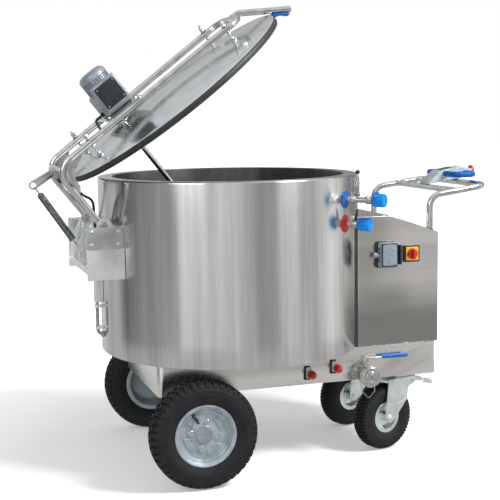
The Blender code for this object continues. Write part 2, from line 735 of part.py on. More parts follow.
def build_milk_line():
    top = at(0, 0, VESSEL_FLOOR_Z - GAP)
    inlet = at(PUMP_X - GAP, 0, PUMP_Z)
    drop = rounded([top, at(0, 0, PUMP_Z), inlet], 0.045, 4, closed=False)
    port = at(PUMP_X + 0.025, -PUMP_R - GAP, PUMP_Z)
    elbow = at(PUMP_X + 0.025, -0.165, PUMP_Z - 0.010)
    turn = at(OUTLET_X, -0.165, OUTLET_Z)
    socket = OUTLET_AXIS - Vector((0, 0.006, 0))
    away = rounded([port, elbow, turn, socket], 0.040, 4, closed=False)
    bore = [top + Vector((0, 0, 0.01))] + drop[1:-1] + [inlet - Vector((SHEET, 0, 0))]
    suction = fused([sweep(drop, OUTLET_PIPE_R, 10)], [sweep(bore, OUTLET_PIPE_R - SHEET, 10)])
    finish("suction_pipe", suction, STEEL)

    motor_top = DECK_UNDER_Z - GAP
    solids = [
        cylinder(at(PUMP_X, 0, PUMP_Z), at(PUMP_X + 0.050, 0, PUMP_Z), PUMP_R, 14),
        cylinder(at(PUMP_X + 0.045, 0, PUMP_Z), at(PUMP_X + 0.190, 0, PUMP_Z), 0.0449, 12),
        block(at(PUMP_X + 0.075, -0.040, PUMP_Z + 0.020), at(PUMP_X + 0.165, 0.040, motor_top), 0.006),
    ]
    finish("milk_pump", fused(solids), MOTOR_GREY)

    out = facing((0, -1, 0), at(OUTLET_X, VALVE_FACE_Y, OUTLET_Z))
    body = [
        (OUTLET_PIPE_R - SHEET, 0),
        (0.034, 0),
        (0.034, 0.005),
        (0.0235, 0.008),
        (0.0235, 0.012),
        (0.030, 0.014),
        (0.030, 0.034),
        (0.024, 0.036),
        (0.024, VALVE_LEN - 0.008),
        (0.030, VALVE_LEN - 0.006),
        (0.030, VALVE_LEN),
        (OUTLET_PIPE_R - SHEET, VALVE_LEN),
    ]
    stem_foot = at(OUTLET_X, STEM_Y, OUTLET_Z + 0.026)
    stem_top = at(OUTLET_X, STEM_Y, LEVER_Z - 0.008)
    neck = cylinder(stem_foot, at(OUTLET_X, STEM_Y, OUTLET_Z + 0.040), 0.010, 8)
    pipe = sweep(away, OUTLET_PIPE_R, 10)
    valve = fused([revolve(body, 18, out), neck, cylinder(stem_foot, stem_top, 0.005, 8), pipe])
    finish("outlet_valve", valve, STEEL)

    cap = [
        (0, OUTLET_CAP_H + 0.002),
        (0.020, OUTLET_CAP_H + 0.002),
        (0.022, OUTLET_CAP_H),
        (OUTLET_CAP_R - 0.003, OUTLET_CAP_H),
        (OUTLET_CAP_R, OUTLET_CAP_H - 0.003),
        (OUTLET_CAP_R, 0),
        (round_fit(0.030, 18), 0),
        (round_fit(0.030, 18), 0.008),
        (0, 0.008),
    ]
    seat = VALVE_LEN + GAP - 0.008
    notches = []
    for x, y in ring_points(OUTLET_CAP_R, 6):
        notches.append(block((x - 0.005, y - 0.005, -0.01), (x + 0.005, y + 0.005, OUTLET_CAP_H + 0.01)))
    eye = Vector((0, 0, OUTLET_CAP_H))
    knob = cylinder(eye, eye + Vector((0, 0, 0.010)), 0.006, 8)
    cap_part = moved(fused([revolve(cap, 18), knob], notches), out @ Matrix.Translation((0, 0, seat)))
    cap_place = out @ Vector((0, 0, seat))
    finish("outlet_cap", cap_part, STEEL, cap_place)

    hang = [
        at(OUTLET_X - 0.0140, VALVE_FACE_Y - 0.010, OUTLET_Z - 0.0201),
        at(OUTLET_X - 0.024, VALVE_FACE_Y - 0.010, OUTLET_Z - 0.0345),
        at(OUTLET_X - 0.016, FRONT_Y - 0.014, OUTLET_Z - 0.066),
        at(OUTLET_X, FRONT_Y - 0.034, OUTLET_Z - 0.090),
        at(OUTLET_X + 0.010, FRONT_Y - seat - OUTLET_CAP_H - 0.006, OUTLET_Z - 0.050),
        at(OUTLET_X, FRONT_Y - seat - OUTLET_CAP_H - 0.0076, OUTLET_Z - 0.0080),
    ]
    finish("cap_chain", sweep(rounded(hang, 0.010, 2, closed=False), 0.0014, 5), STEEL)

    hub = at(OUTLET_X, STEM_Y, LEVER_Z)
    low = LEVER_Z - 0.008 + GAP
    line = [(hub.x, -0.007), (hub.x + 0.160, -0.006), (hub.x + 0.160, 0.006), (hub.x, 0.007)]
    bar = prism(line, low, low + 0.003, "XY")
    bar = moved(bar, Matrix.Translation((0, hub.y, 0)))
    boss = cylinder((hub.x, hub.y, low), (hub.x, hub.y, low + 0.008), 0.009, 10)
    start = (hub.x + 0.060, hub.y - 0.011, low - 0.005)
    sleeve = block(start, (hub.x + 0.166, hub.y + 0.011, low + 0.008), 0.004)
    finish("valve_lever", fused([bar, boss, sleeve]), DEEP_BLUE, hub)


def build_drains():
    profile = [
        (0, 0),
        (0.013, 0),
        (0.013, 0.005),
        (0.008, 0.006),
        (0.008, 0.016),
        (0.013, 0.016),
        (0.011, 0.040),
        (0.007, 0.049),
        (0, 0.050),
    ]
    for (x, z), label in zip(DRAINS, ("left", "right")):
        out = facing((0, -1, 0), at(x, VALVE_FACE_Y, z))
        finish("drain_cock_" + label, revolve(profile, 14, out), RED)


# Cabinet with its sloped lid, seal strips, batteries and front switches
def build_cabinet():
    low = TANK_FLOOR_Z + GAP
    left = TANK_X + CABINET_LEFT
    right = TANK_X + CABINET_RIGHT
    crease = TANK_X + CABINET_CREASE
    top = CABINET_TOP_Z
    end_z = CABINET_END_Z
    outside = [(left, low), (right, low), (right, end_z), (crease, top), (left, top)]
    t = SHEET
    inside = [(left - 0.05, low - 0.02), (right - t, low - 0.02), (right - t, end_z - t * 1.5)]
    inside += [(crease, top - t), (left - 0.05, top - t)]
    half = TRAY_HALF_W
    clear_r = TANK_R + 0.002
    line = [(0, low - 0.05), (clear_r, low - 0.05), (clear_r, TANK_RIM_Z), (0, TANK_RIM_Z)]
    tank = moved(revolve(line, TANK_FACETS), TANK_AXIS)
    cuts = [prism(inside, t - half, half - t), tank]
    for side in (-1, 1):
        foot = at(HANDLE_BASE_X, side * HANDLE_HALF_W, CABINET_END_Z - 0.03)
        cuts.append(cylinder(foot, foot + Vector((0, 0, 0.1)), TUBE_R + 0.0008, 14))
    finish("cabinet_shell", fused([prism(outside, -half, half)], cuts), SATIN)

    strip_top = CABINET_TOP_Z - SHEET - GAP
    edge = [(TANK_X + tank_edge(y) + GAP, y) for y in [-half] + wall_corners(half) + [half]]
    back = [(x + 0.006, y) for x, y in reversed(edge)]
    strips = [prism(edge + back, strip_top - SEAL_STRIP, strip_top, "XY")]
    for side in (-1, 1):
        deep = half - SEAL_STRIP
        line = [(TANK_X + tank_edge(half) + GAP, side * half), (left - GAP, side * half)]
        line += [(left - GAP, side * deep), (TANK_X + tank_edge(deep) + GAP, side * deep)]
        strips.append(prism(line, low, strip_top - 0.001, "XY"))
    finish("cabinet_seal", fused(strips), RUBBER)

    half = BATTERY_W / 2
    top = low + BATTERY_H
    case = block(at(BATTERY_X, -half, low), at(BATTERY_X + BATTERY_LENGTH, half, top), 0.006)
    posts = []
    for y in (POST_INSET_Y - half, half - POST_INSET_Y):
        foot = at(BATTERY_X + POST_INSET_X, y, top - 0.005)
        posts.append(cylinder(foot, foot + Vector((0, 0, 0.020)), 0.009, 8))
    finish("battery", fused([case] + posts), BLACK)


def front_plate(x, z, half_w, half_h, near, far, bevel=0.0):
    """Flat block standing on the cabinet's front, from near to far ahead of it."""
    left, right = x - half_w, x + half_w
    low, high = z - half_h, z + half_h
    corners = [(left, low), (right, low), (right, high), (left, high)]
    return prism(rounded(corners, bevel, 3), FRONT_Y - near, FRONT_Y - far)


def build_switches():
    x = TANK_X + ISOLATOR_X
    z = ISOLATOR_Z
    case = front_plate(x, z, 0.0325, 0.0325, GAP, 0.009, 0.003)
    finish("isolator_base", fused([case, front_plate(x, z, 0.0295, 0.0295, 0.008, 0.0115, 0.002)]), YELLOW)
    seat = 0.0115 + GAP
    out = facing((0, -1, 0), (x, FRONT_Y - seat, z))
    disc = revolve([(0, 0), (0.021, 0), (0.021, 0.007), (0.019, 0.009), (0, 0.009)], 16, out)
    finger = moved(block((-0.006, -0.020, 0.006), (0.006, 0.020, 0.026), 0.003), out)
    finish("isolator_knob", fused([disc, finger]), RED, (x, FRONT_Y - seat, z))

    x = TANK_X + SOCKET_X
    z = SOCKET_Z
    shell = front_plate(x, z, 0.036, 0.048, GAP, 0.040, 0.006)
    lip = front_plate(x - 0.002, z, 0.040, 0.051, 0.004, 0.012, 0.006)
    gland = cylinder((x - 0.058, FRONT_Y - 0.022, z), (x - 0.030, FRONT_Y - 0.022, z), 0.011, 12)
    screws = []
    for screw_z in (z - 0.036, z + 0.036):
        spot = Vector((x - 0.042, FRONT_Y - 0.030, screw_z))
        screws.append(cylinder(spot, (x - 0.030, spot.y, screw_z), 0.005, 8))
    hinge_x = x + 0.046
    hinge_y = FRONT_Y - 0.010
    ears = []
    for ear_z in (z - 0.043, z + 0.043):
        start = (x + 0.030, hinge_y - 0.004, ear_z - 0.004)
        ears.append(block(start, (hinge_x + 0.004, hinge_y + 0.004, ear_z + 0.004)))
    finish("charging_socket", fused([shell, lip, gland] + screws + ears), GREY_CAST)
    low = z - 0.039 + GAP
    high = z + 0.039 - GAP
    barrel = cylinder((hinge_x, hinge_y, low), (hinge_x, hinge_y, high), 0.005, 12)
    near_y = hinge_y - 0.002
    far_y = hinge_y - 0.036
    line = [(hinge_x - 0.004, near_y), (hinge_x + 0.004, near_y)]
    line += [(hinge_x + 0.004, far_y), (hinge_x - 0.004, far_y)]
    flap = prism(line, low, high, "XY")
    finish("socket_flap", fused([barrel, flap]), BLACK, (hinge_x, hinge_y, z))


# Push handle with the control head sitting on its two cross tubes
def rail_z(x):
    share = (x - HANDLE_BASE_X) / (HANDLE_END_X - HANDLE_BASE_X)
    return HANDLE_KNEE_Z + (HANDLE_END_Z - HANDLE_KNEE_Z) * share


def build_handle():
    half = HANDLE_HALF_W
    corners = [at(HANDLE_BASE_X, -half, TANK_FLOOR_Z + GAP), at(HANDLE_BASE_X, -half, HANDLE_KNEE_Z)]
    corners += [at(HANDLE_END_X, -half, HANDLE_END_Z), at(HANDLE_END_X, half, HANDLE_END_Z)]
    corners += [at(HANDLE_BASE_X, half, HANDLE_KNEE_Z), at(HANDLE_BASE_X, half, TANK_FLOOR_Z + GAP)]
    frame = sweep(rounded(corners, HANDLE_BEND_R, 4, closed=False), TUBE_R, 10)
    z = rail_z(CROSS_TUBE_X)
    cross = cylinder(at(CROSS_TUBE_X, -half, z), at(CROSS_TUBE_X, half, z), TUBE_R * 0.995, 10)
    finish("push_handle", fused([frame, cross]), STEEL)

    slope = (HANDLE_END_Z - HANDLE_KNEE_Z) / (HANDLE_END_X - HANDLE_BASE_X)
    lift = (TUBE_R + GAP) * hypot(1, slope)

    def seat_z(x):
        return rail_z(x) + lift

    start = CROSS_TUBE_X - 0.012
    end = HEAD_END_X
    crown = seat_z(end) + 0.038
    line = [(start, seat_z(start)), (end, seat_z(end)), (end, crown - 0.008)]
    line += [(end - 0.030, crown), (end - 0.080, crown), (start + 0.060, crown - 0.012)]
    line.append((start + 0.012, seat_z(start) + 0.014))
    outline = [(TANK_X + x, z) for x, z in line]
    body = prism(outline, -HEAD_HALF_W, HEAD_HALF_W)
    button_z = (seat_z(end) + crown) / 2
    button_axis = at(end, 0, button_z)
    key_foot = at(end - 0.055, 0, crown - 0.020)
    stem = 0.008
    cuts = [cylinder(button_axis - Vector((0.030, 0, 0)), button_axis + Vector((0.01, 0, 0)), stem + GAP, 14)]
    well_foot = key_foot - Vector((0, 0, KEY_TRAVEL + GAP))
    cuts.append(cylinder(well_foot, key_foot + Vector((0, 0, 0.05)), stem + GAP, 14))
    finish("control_head", fused([body], cuts), HEAD_GREY)

    face = end + GAP + STOP_TRAVEL
    disc_r = 0.024
    profile = [(0, -0.018), (stem, -0.018), (stem, 0), (disc_r, 0), (disc_r, 0.008)]
    profile += [(disc_r * 0.7, 0.013), (0, 0.015)]
    button = revolve(profile, 16, facing((1, 0, 0), at(face, 0, button_z)))
    finish("stop_button", button, RED, at(face, 0, button_z))
    key = cylinder(key_foot, key_foot + Vector((0, 0, 0.026)), stem, 14)
    finish("horn_button", key, ZINC, key_foot)

    grip_z = button_z - 0.006
    for side, label in ((-1, "near"), (1, "far")):
        near = side * (HEAD_HALF_W + GAP)
        far = side * LOOP_REACH
        path = [(end - 0.125, near), (end - 0.125, far), (end - 0.035, far), (end - 0.035, near)]
        loop = rounded([at(x, y, grip_z) for x, y in path], 0.030, 3, closed=False)
        finish("control_grip_" + label, sweep(loop, LOOP_R, 8), BLUE)


# Hinge bracket on the tank, with its bolted covers, and the cable run below it
def build_bracket():
    bracket_end = BRACKET_HALF_W + 0.002
    places = [-bracket_end] + wall_corners(bracket_end) + [bracket_end]
    inner = [(TANK_X - tank_edge(y) - GAP, y) for y in places]
    outer = [(x - BRACKET_SHEET, y) for x, y in reversed(inner)]
    low = BRACKET_BOTTOM_Z
    high = BRACKET_TOP_Z
    left = TANK_X + BRACKET_LEFT
    solids = [prism(inner + outer, low, high, "XY")]
    plate_y = BRACKET_HALF_W - BRACKET_SHEET
    plate_end = TANK_X - tank_edge(plate_y) - 0.0035
    cheek_end = TANK_X - tank_edge(CHEEK_Y) - 0.0030
    arc = [(PIVOT.x + 0.026 * cos(radians(a)), PIVOT_Z + 0.026 * sin(radians(a))) for a in range(0, 181, 36)]
    cheek = [(left + 0.004, low + 0.033), (cheek_end, low + 0.033), (cheek_end, high - 0.005)]
    cheek += arc + [(left + 0.004, high - 0.075)]
    tube_x = left + TUBE_R + 0.0005
    tube_z = low + 0.028
    cuts = []
    for side in (-1, 1):
        faces = sorted((side * plate_y, side * BRACKET_HALF_W))
        window = [(left + 0.030, high - 0.070), (left + 0.064, high - 0.070)]
        window += [(left + 0.064, high - 0.012), (left + 0.030, high - 0.012)]
        solids.append(prism([(left, low), (plate_end, low), (plate_end, high), (left, high)], *faces))
        cuts.append(prism(window, faces[0] - 0.001, faces[1] + 0.001))
        solids.append(prism(cheek, *sorted((side * CHEEK_Y, side * (CHEEK_Y + 0.005)))))
    half = Vector((0, BRACKET_HALF_W - 0.001, 0))
    foot_bar = Vector((tube_x, 0, tube_z))
    solids.append(cylinder(foot_bar - half, foot_bar + half, TUBE_R, 10))
    foot = at(SPRING_FOOT[0], 0, SPRING_FOOT[1])
    solids.append(sweep(ring_path(foot, EYE_RING_R + 0.0025, (0, 1, 0), 14), 0.0025, 5, closed=True))
    solids.append(cylinder(foot - Vector((0, 0, EYE_RING_R + 0.0025)), (foot.x + 0.004, 0, tube_z), 0.004, 8))
    bore_r = round_fit(HINGE_AXLE_R, 12)
    cuts.append(cylinder(at(PIVOT_X, -0.2, PIVOT_Z), at(PIVOT_X, 0.2, PIVOT_Z), bore_r, 12))
    finish("hinge_bracket", fused(solids, cuts), SATIN)

    right = plate_end - 0.002
    for side, label in ((-1, "near"), (1, "far")):
        face = side * (BRACKET_HALF_W + GAP)
        back = side * (BRACKET_HALF_W + GAP + 0.003)
        edge = high - COVER_H
        cover = [prism([(left, edge), (right, edge), (right, high), (left, high)], *sorted((face, back)))]
        for x in (left + 0.018, right - 0.016):
            for z in (high - 0.018, high - COVER_H + 0.016):
                cover.append(cylinder((x, back - side * 0.001, z), (x, back + side * 0.006, z), 0.007, 6))
        finish("hinge_cover_" + label, fused(cover), STEEL)

    drop_x = -(TANK_R + 0.023)
    run = [at(drop_x, 0, BRACKET_BOTTOM_Z + 0.055), at(drop_x, 0, BRACKET_BOTTOM_Z - 0.240)]
    run.append(at(-(TANK_R + GAP), 0, BRACKET_BOTTOM_Z - 0.240))
    finish("cable_conduit", sweep(rounded(run, 0.018, 4, closed=False), 0.007, 8), MOTOR_GREY)
    loop = [
        at(drop_x, 0, BRACKET_BOTTOM_Z + 0.055 + GAP),
        at(drop_x, 0, BRACKET_BOTTOM_Z + 0.085),
        at(drop_x - 0.006, -0.040, BRACKET_BOTTOM_Z + 0.150),
        at(drop_x - 0.014, -0.080, BRACKET_BOTTOM_Z + 0.215),
        at(drop_x - 0.022, -0.105, BRACKET_BOTTOM_Z + 0.285),
        OPENING @ at(ARM_X + 0.018, -CABLE_Y, ARM_CABLE_Z - 0.030),
        OPENING @ at(ARM_X + 0.018, -CABLE_Y, ARM_CABLE_Z),
    ]
    finish("hinge_cable", sweep(rounded(loop, 0.022, 3, closed=False), CABLE_R, 6), BLACK)


# Lid: dome, seal, tube frame, gearmotor and agitator, drawn shut


def dome_top(r):
    return SEAL_H + GAP + SHEET + DOME_RISE * (1 - (r / LID_R) ** 2)


def capsule(start, end, start_r, end_r, steps=6):
    """Outline of two round ends joined by straight sides."""
    along = Vector(end) - Vector(start)
    heading = Vector((1, 0)).angle_signed(along) * -1
    points = []
    for centre, radius, turn in ((start, start_r, pi / 2), (end, end_r, -pi / 2)):
        for k in range(steps + 1):
            angle = heading + turn + pi * k / steps
            points.append((centre[0] + radius * cos(angle), centre[1] + radius * sin(angle)))
    return points


def build_lid():
    axis = Matrix.Translation(lid_at(0, 0, 0))
    shaft_hole = cylinder(lid_at(SHAFT_T, 0, 0), lid_at(SHAFT_T, 0, 0.2), SHAFT_R + 0.002, 16)
    radii = [LID_R * share for share in (1.0, 0.80, 0.48)]
    upper = [(r, dome_top(r)) for r in radii] + [(0, dome_top(0))]
    under = [(0, dome_top(0) - SHEET)] + [(r, dome_top(r) - SHEET) for r in reversed(radii)]
    dome = revolve(under + upper, 40, axis)
    outer = LID_R + 0.004
    seal = [(outer - SEAL_W, 0), (outer - 0.003, 0), (outer, 0.003), (outer, SEAL_H)]
    seal.append((outer - SEAL_W, SEAL_H))
    lid_piece("lid_seal", revolve(seal, 40, axis), RUBBER)

    half = LEG_HALF_Y
    corners = [at(ARM_X, -half, PIVOT_Z), at(ARM_X, -half, LEG_Z), lid_at(LEG_END, -half, LEG_H)]
    corners += [lid_at(LEG_END, half, LEG_H), at(ARM_X, half, LEG_Z), at(ARM_X, half, PIVOT_Z)]
    solids = [sweep(rounded(corners, ARM_BEND_R, 4, closed=False), TUBE_R, 10)]
    ends = Vector((0, CHEEK_Y + 0.012, 0))
    solids.append(cylinder(PIVOT - ends, PIVOT + ends, HINGE_AXLE_R, 12))
    dip = ARM_BEND_R * (1 - sqrt(0.5))
    bar = at(ARM_X + dip, 0, LEG_Z - dip)
    reach = Vector((0, half, 0))
    solids.append(cylinder(bar - reach, bar + reach, TUBE_R * 0.995, 10))
    corner = at(ARM_X, 0, LEG_Z)
    inner_edge = [(0.004, -0.130), (0.017, -0.118), (0.033, -0.100), (0.034, -0.068)]
    inner_edge += [(0.060, -0.040), (0.100, -0.024), (0.118, -0.004)]
    centre = (corner.x + ARM_BEND_R, corner.z - ARM_BEND_R)
    turns = [radians(a) for a in range(90, 181, 15)]
    bend = [(centre[0] + ARM_BEND_R * cos(a), centre[1] + ARM_BEND_R * sin(a)) for a in turns]
    gusset = [(corner.x + a, corner.z + b) for a, b in inner_edge] + bend
    for side in (-1, 1):
        y = side * half
        solids.append(prism(gusset, y - 0.003, y + 0.003))
        hub = Vector((0, 0.017, 0))
        spot = Vector((PIVOT.x, y, PIVOT_Z))
        solids.append(cylinder(spot - hub, spot + hub, 0.020, 14))
    eye = at(LEVER_EYE[0], 0, LEVER_EYE[1])
    solids.append(prism(capsule((bar.x, bar.z), (eye.x, eye.z), 0.013, EYE_BAR_R), -LEVER_T / 2, LEVER_T / 2))
    pull = [lid_at(LEG_END, 0, LEG_H), lid_at(LEG_END + 0.040, 0, LEG_H), lid_at(PULL_END[0], 0, PULL_END[1])]
    solids.append(sweep(rounded(pull, 0.030, 3, closed=False), TUBE_R * 0.995, 10))
    plate_low = LEG_H + 0.008
    wide = half + 0.010
    start, end = MOTOR_T - 0.075, MOTOR_T + 0.075
    plate = [(start, -wide), (end, -wide), (end, wide), (start, wide)]
    solids.append(moved(prism(rounded(plate, 0.012, 3), plate_low, plate_low + MOTOR_PLATE_T, "XY"), axis))
    cuts = [shaft_hole]
    eye_side = Vector((0, 0.02, 0))
    cuts.append(cylinder(eye - eye_side, eye + eye_side, EYE_HOLE_R, 12))
    studs = []
    top = LEG_H + TUBE_R + GAP
    for t in (STUD_LEFT, STUD_RIGHT):
        for side in (-1, 1):
            foot = dome_top(hypot(t, half)) + 0.001
            place = Matrix.Translation(lid_at(t, side * half, 0))
            cuts.append(cylinder(lid_at(t, side * half, 0), lid_at(t, side * half, 0.2), STUD_R + GAP, 8))
            line = [(0, foot - 0.0025), (0.014, foot), (0.014, foot + 0.003), (STUD_R, foot + 0.003)]
            line += [(STUD_R, top), (0.009, top), (0.009, top + 0.008), (STUD_R, top + 0.008)]
            line += [(STUD_R, top + 0.022), (0, top + 0.022)]
            studs.append(revolve(line, 8, place))
    lid_piece("lid_frame", fused(solids, cuts), STEEL)
    lid_piece("lid_shell", fused([dome] + studs, [shaft_hole]), STEEL)

    bend_end = Vector((LEG_END + 0.040, LEG_H))
    along = (Vector(PULL_END) - bend_end).normalized()
    below = Vector((along.y, -along.x))
    seat = TUBE_R + GAP
    marks = [(0.136, seat), (0.208, seat), (0.202, seat + 0.014), (0.174, seat + 0.009)]
    marks.append((0.145, seat + 0.015))
    pad = [bend_end + along * a + below * b for a, b in marks]
    outline = [(TANK_X + p.x, LID_Z + p.y) for p in pad]
    lid_piece("lid_grip", prism(outline, -0.016, 0.016), DEEP_BLUE)


def build_motor():
    base = MOTOR_SEAT_H
    top = base + MOTOR_H
    half = MOTOR_W / 2
    middle = base + MOTOR_H * 0.52
    box_start = lid_at(MOTOR_T - 0.050, -half - 0.034, base + 0.018)
    box_end = lid_at(MOTOR_T + 0.050, 0.010 - half, base + 0.122)
    solids = [
        block(lid_at(MOTOR_T - half, -half, base), lid_at(MOTOR_T + half, half, middle), 0.014),
        cylinder(lid_at(MOTOR_T, 0, middle - 0.010), lid_at(MOTOR_T, 0, top - 0.006), half - 0.004, 20),
        cylinder(lid_at(MOTOR_T, 0, base + MOTOR_H * 0.75), lid_at(MOTOR_T, 0, top), half - 0.012, 20),
        block(box_start, box_end, 0.006),
    ]
    bore_top = base + 0.050
    bore = cylinder(lid_at(SHAFT_T, 0, base - 0.01), lid_at(SHAFT_T, 0, bore_top), round_fit(SHAFT_R, 12), 12)
    lid_piece("gearmotor", fused(solids, [bore]), MOTOR_GREY)

    face = -half - 0.034 - GAP
    centre = lid_at(MOTOR_T, 0, base + 0.070)
    size = 0.045
    left, right = centre.x - size, centre.x + size
    low, high = centre.z - size, centre.z + size
    plate = rounded([(left, low), (right, low), (right, high), (left, high)], 0.008, 3)
    cover = [prism(plate, face - 0.005, face)]
    for a in (-1, 1):
        for b in (-1, 1):
            spot = Vector((centre.x + a * (size - 0.009), face - 0.004, centre.z + b * (size - 0.009)))
            cover.append(cylinder(spot, spot - Vector((0, 0.004, 0)), 0.004, 6))
    lid_piece("motor_cover", fused(cover), BLACK)

    entry = MOTOR_T - half - GAP
    leg_y = -CABLE_Y
    run = [
        at(ARM_X + 0.018, leg_y, ARM_CABLE_Z + GAP),
        at(ARM_X + 0.018, leg_y, ARM_CABLE_Z + 0.024),
        at(ARM_X + 0.040, leg_y, LEG_Z - 0.034),
        lid_at(-0.440, leg_y, LEG_H),
        lid_at(-0.310, leg_y, LEG_H),
        lid_at(entry - 0.040, -0.040, base + 0.020),
        lid_at(entry, -0.040, base + 0.020),
    ]
    lid_piece("motor_cable", sweep(rounded(run, 0.010, 2, closed=False), CABLE_R, 6), BLACK)

    tip = PADDLE_TIP_Z
    top = lid_at(SHAFT_T, 0, bore_top - 0.010)
    foot = at(SHAFT_T, 0, tip)
    solids = [cylinder(foot, top, SHAFT_R, 12)]
    for side in (-1, 1):
        low, high = sorted((0, side * PADDLE_HALF_SPAN))
        blade = prism([(low, -0.030), (high, -0.030), (high, 0.030), (low, 0.030)], -0.002, 0.002, "XZ")
        lean = Matrix.Translation(foot + Vector((0, 0, 0.030))) @ Matrix.Rotation(side * radians(25), 4, "X")
        solids.append(moved(blade, lean))
    lid_piece("agitator", fused(solids), STEEL, lid_at(SHAFT_T, 0, 0))


# Tension spring between the bracket's eye and the lid's lever
def build_spring():
    foot = at(SPRING_FOOT[0], 0, SPRING_FOOT[1])
    eye = OPENING @ at(LEVER_EYE[0], 0, LEVER_EYE[1])
    line = (eye - foot).normalized()
    sideways = Vector((0, 1, 0))
    normal = line.cross(sideways)
    frame = Matrix((sideways, normal, line)).transposed().to_4x4()
    length = (eye - foot).length
    low = Matrix.Translation(foot + line * (EYE_RING_R - SPRING_WIRE_R - GAP)) @ frame
    high = Matrix.Translation(eye - line * (EYE_HOLE_R * 0.96 - HOOK_WIRE_R - GAP)) @ frame
    start = 2 * HOOK_R + 0.014
    end = length - 2 * HOOK_R - 0.018
    coil_r = SPRING_R - SPRING_WIRE_R
    place = Matrix.Translation(foot) @ frame

    def hook(matrix, sign):
        points = []
        for k in range(11):
            angle = radians(-75 + 30 * k)
            points.append(matrix @ Vector((HOOK_R * cos(angle), 0, sign * (HOOK_R - HOOK_R * sin(angle)))))
        return points

    wire = hook(low, 1)
    steps = SPRING_TURNS * 8
    for k in range(steps + 1):
        angle = 2 * pi * k / 8
        height = start + (end - start) * k / steps
        wire.append(place @ Vector((coil_r * cos(angle), coil_r * sin(angle), height)))
    finish("spring_coil", sweep(wire, SPRING_WIRE_R, 4), ZINC, foot)

    tail = hook(high, -1)
    tail.append(place @ Vector((0, 0, end + 0.004)))
    finish("spring_hook", sweep(tail, HOOK_WIRE_R, 6), ZINC, eye)


# Fittings on the tank wall: water inlets with their caps, and the lid latch
def wall_frame(azimuth, z):
    """Matrix at the tank wall whose local Z points outward and local Y up."""
    flat = FACET * (round(azimuth / FACET - 0.5) + 0.5)
    outward = Vector((cos(flat), sin(flat), 0))
    along = Vector((-sin(flat), cos(flat), 0))
    spot = outward * (FLAT_R + GAP) + along * (FLAT_R * tan(azimuth - flat))
    return facing(outward, at(0, 0, z) + spot)


def build_inlets():
    r = INLET_PIPE_R
    cup = r + 0.005 + GAP
    for z, reach, label in ((BLUE_INLET_Z, BLUE_REACH, "blue"), (RED_INLET_Z, RED_REACH, "red")):
        place = wall_frame(INLET_AZ, z)
        rosette = [(r - 0.001, 0), (ROSETTE_R, 0), (ROSETTE_R, 0.003)]
        rosette += [(ROSETTE_R * 0.6, 0.009), (r - 0.001, 0.010)]
        seat = reach - 0.024
        nut_r, flare_r, end = r + 0.004, r + 0.005, seat + 0.020
        pipe = [(r - SHEET, 0), (r, 0), (r, seat - 0.030), (nut_r, seat - 0.026), (nut_r, seat - 0.004)]
        pipe += [(r, seat), (r, seat + 0.010), (flare_r, seat + 0.013), (flare_r, end), (r - SHEET, end)]
        finish("inlet_" + label, fused([revolve(pipe, 16, place), revolve(rosette, 18, place)]), STEEL)
        cap_r = INLET_CAP_R
        cap = [(0, 0.046), (cap_r - 0.005, 0.046), (cap_r, 0.041), (cap_r, 0.006), (cap_r - 0.003, 0)]
        cap += [(cup, 0), (cup, 0.020 + GAP), (0, 0.020 + GAP)]
        nub = cylinder((0, INLET_CAP_R - 0.004, 0.012), (0, INLET_CAP_R + 0.007, 0.012), 0.008, 10)
        part = fused([revolve(cap, 16), nub] if label == "blue" else [revolve(cap, 16)])
        finish("inlet_cap_" + label, moved(part, place @ Matrix.Translation((0, 0, seat))), BLUE)

    place = wall_frame(INLET_AZ, RED_INLET_Z)
    h = RED_REACH - 0.024 - 0.015
    seat = INLET_PIPE_R + 0.004 + GAP
    stem = cylinder((0, seat, h), (0, seat + 0.010, h), 0.004, 12)
    bar = prism(capsule((seat + 0.006, h), (seat + 0.036, h + 0.006), 0.004, 0.003), -0.003, 0.003, "YZ")
    finish("inlet_tap", moved(fused([stem, bar]), place), BLACK, place @ Vector((0, seat, h)))


def build_latch():
    place = wall_frame(LATCH_AZ, LATCH_FOOT_Z)
    base_t = 0.003
    lug = 0.013
    pin = Vector((0, 0.012, 0.011))
    plate = block((-0.017, 0, 0), (0.017, 0.080, base_t))
    keeper = block((-0.010, 0.066, base_t - 0.001), (0.010, 0.076, 0.008))
    ear = [(0.000, base_t - 0.001), (0.024, base_t - 0.001), (0.018, 0.018), (0.006, 0.018)]
    lugs = [prism(ear, x - 0.0015, x + 0.0015, "YZ") for x in (-lug, lug)]
    finish("latch_base", moved(fused([plate, keeper] + lugs), place), STEEL)
    wide = Vector((lug - 0.0015 - GAP, 0, 0))
    solids = [cylinder(pin - wide, pin + wide, 0.005, 12)]
    solids.append(block((-0.008, pin.y - 0.002, pin.z - 0.002), (0.008, 0.092, pin.z + 0.002), 0.0))
    knob = [(0, 0), (0.006, 0.001), (0.0085, 0.006), (0.0075, 0.012), (0, 0.015)]
    solids.append(revolve(knob, 10, facing((0, 1, 0), (0, 0.090, pin.z))))
    bail = [(0, 0.055, pin.z), (0, 0.054, pin.z + 0.040), (0, 0.060, pin.z + 0.052)]
    solids.append(sweep(rounded(bail, 0.006, 3, closed=False), 0.0013, 6))
    finish("latch_arm", moved(fused(solids), place), STEEL, place @ pin)


def build_all():
    build_tank()
    build_chassis()
    build_drive()
    build_castors()
    build_milk_line()
    build_drains()
    build_cabinet()
    build_switches()
    build_handle()
    build_bracket()
    build_lid()
    build_motor()
    build_spring()
    build_inlets()
    build_latch()


build_all()
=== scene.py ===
"""Looks of the milk taxi: a stainless milk tank with a sprung lid on a powered hand cart.

Metres, +Z up, +X towards the push handle, -Y towards the taps, as in the part.
Lid pieces are modelled with the lid shut and then swung open with it.
"""

from math import asin, atan2, cos, hypot, pi, radians, sin, sqrt, tan

import bpy
from mathutils import Matrix, Vector


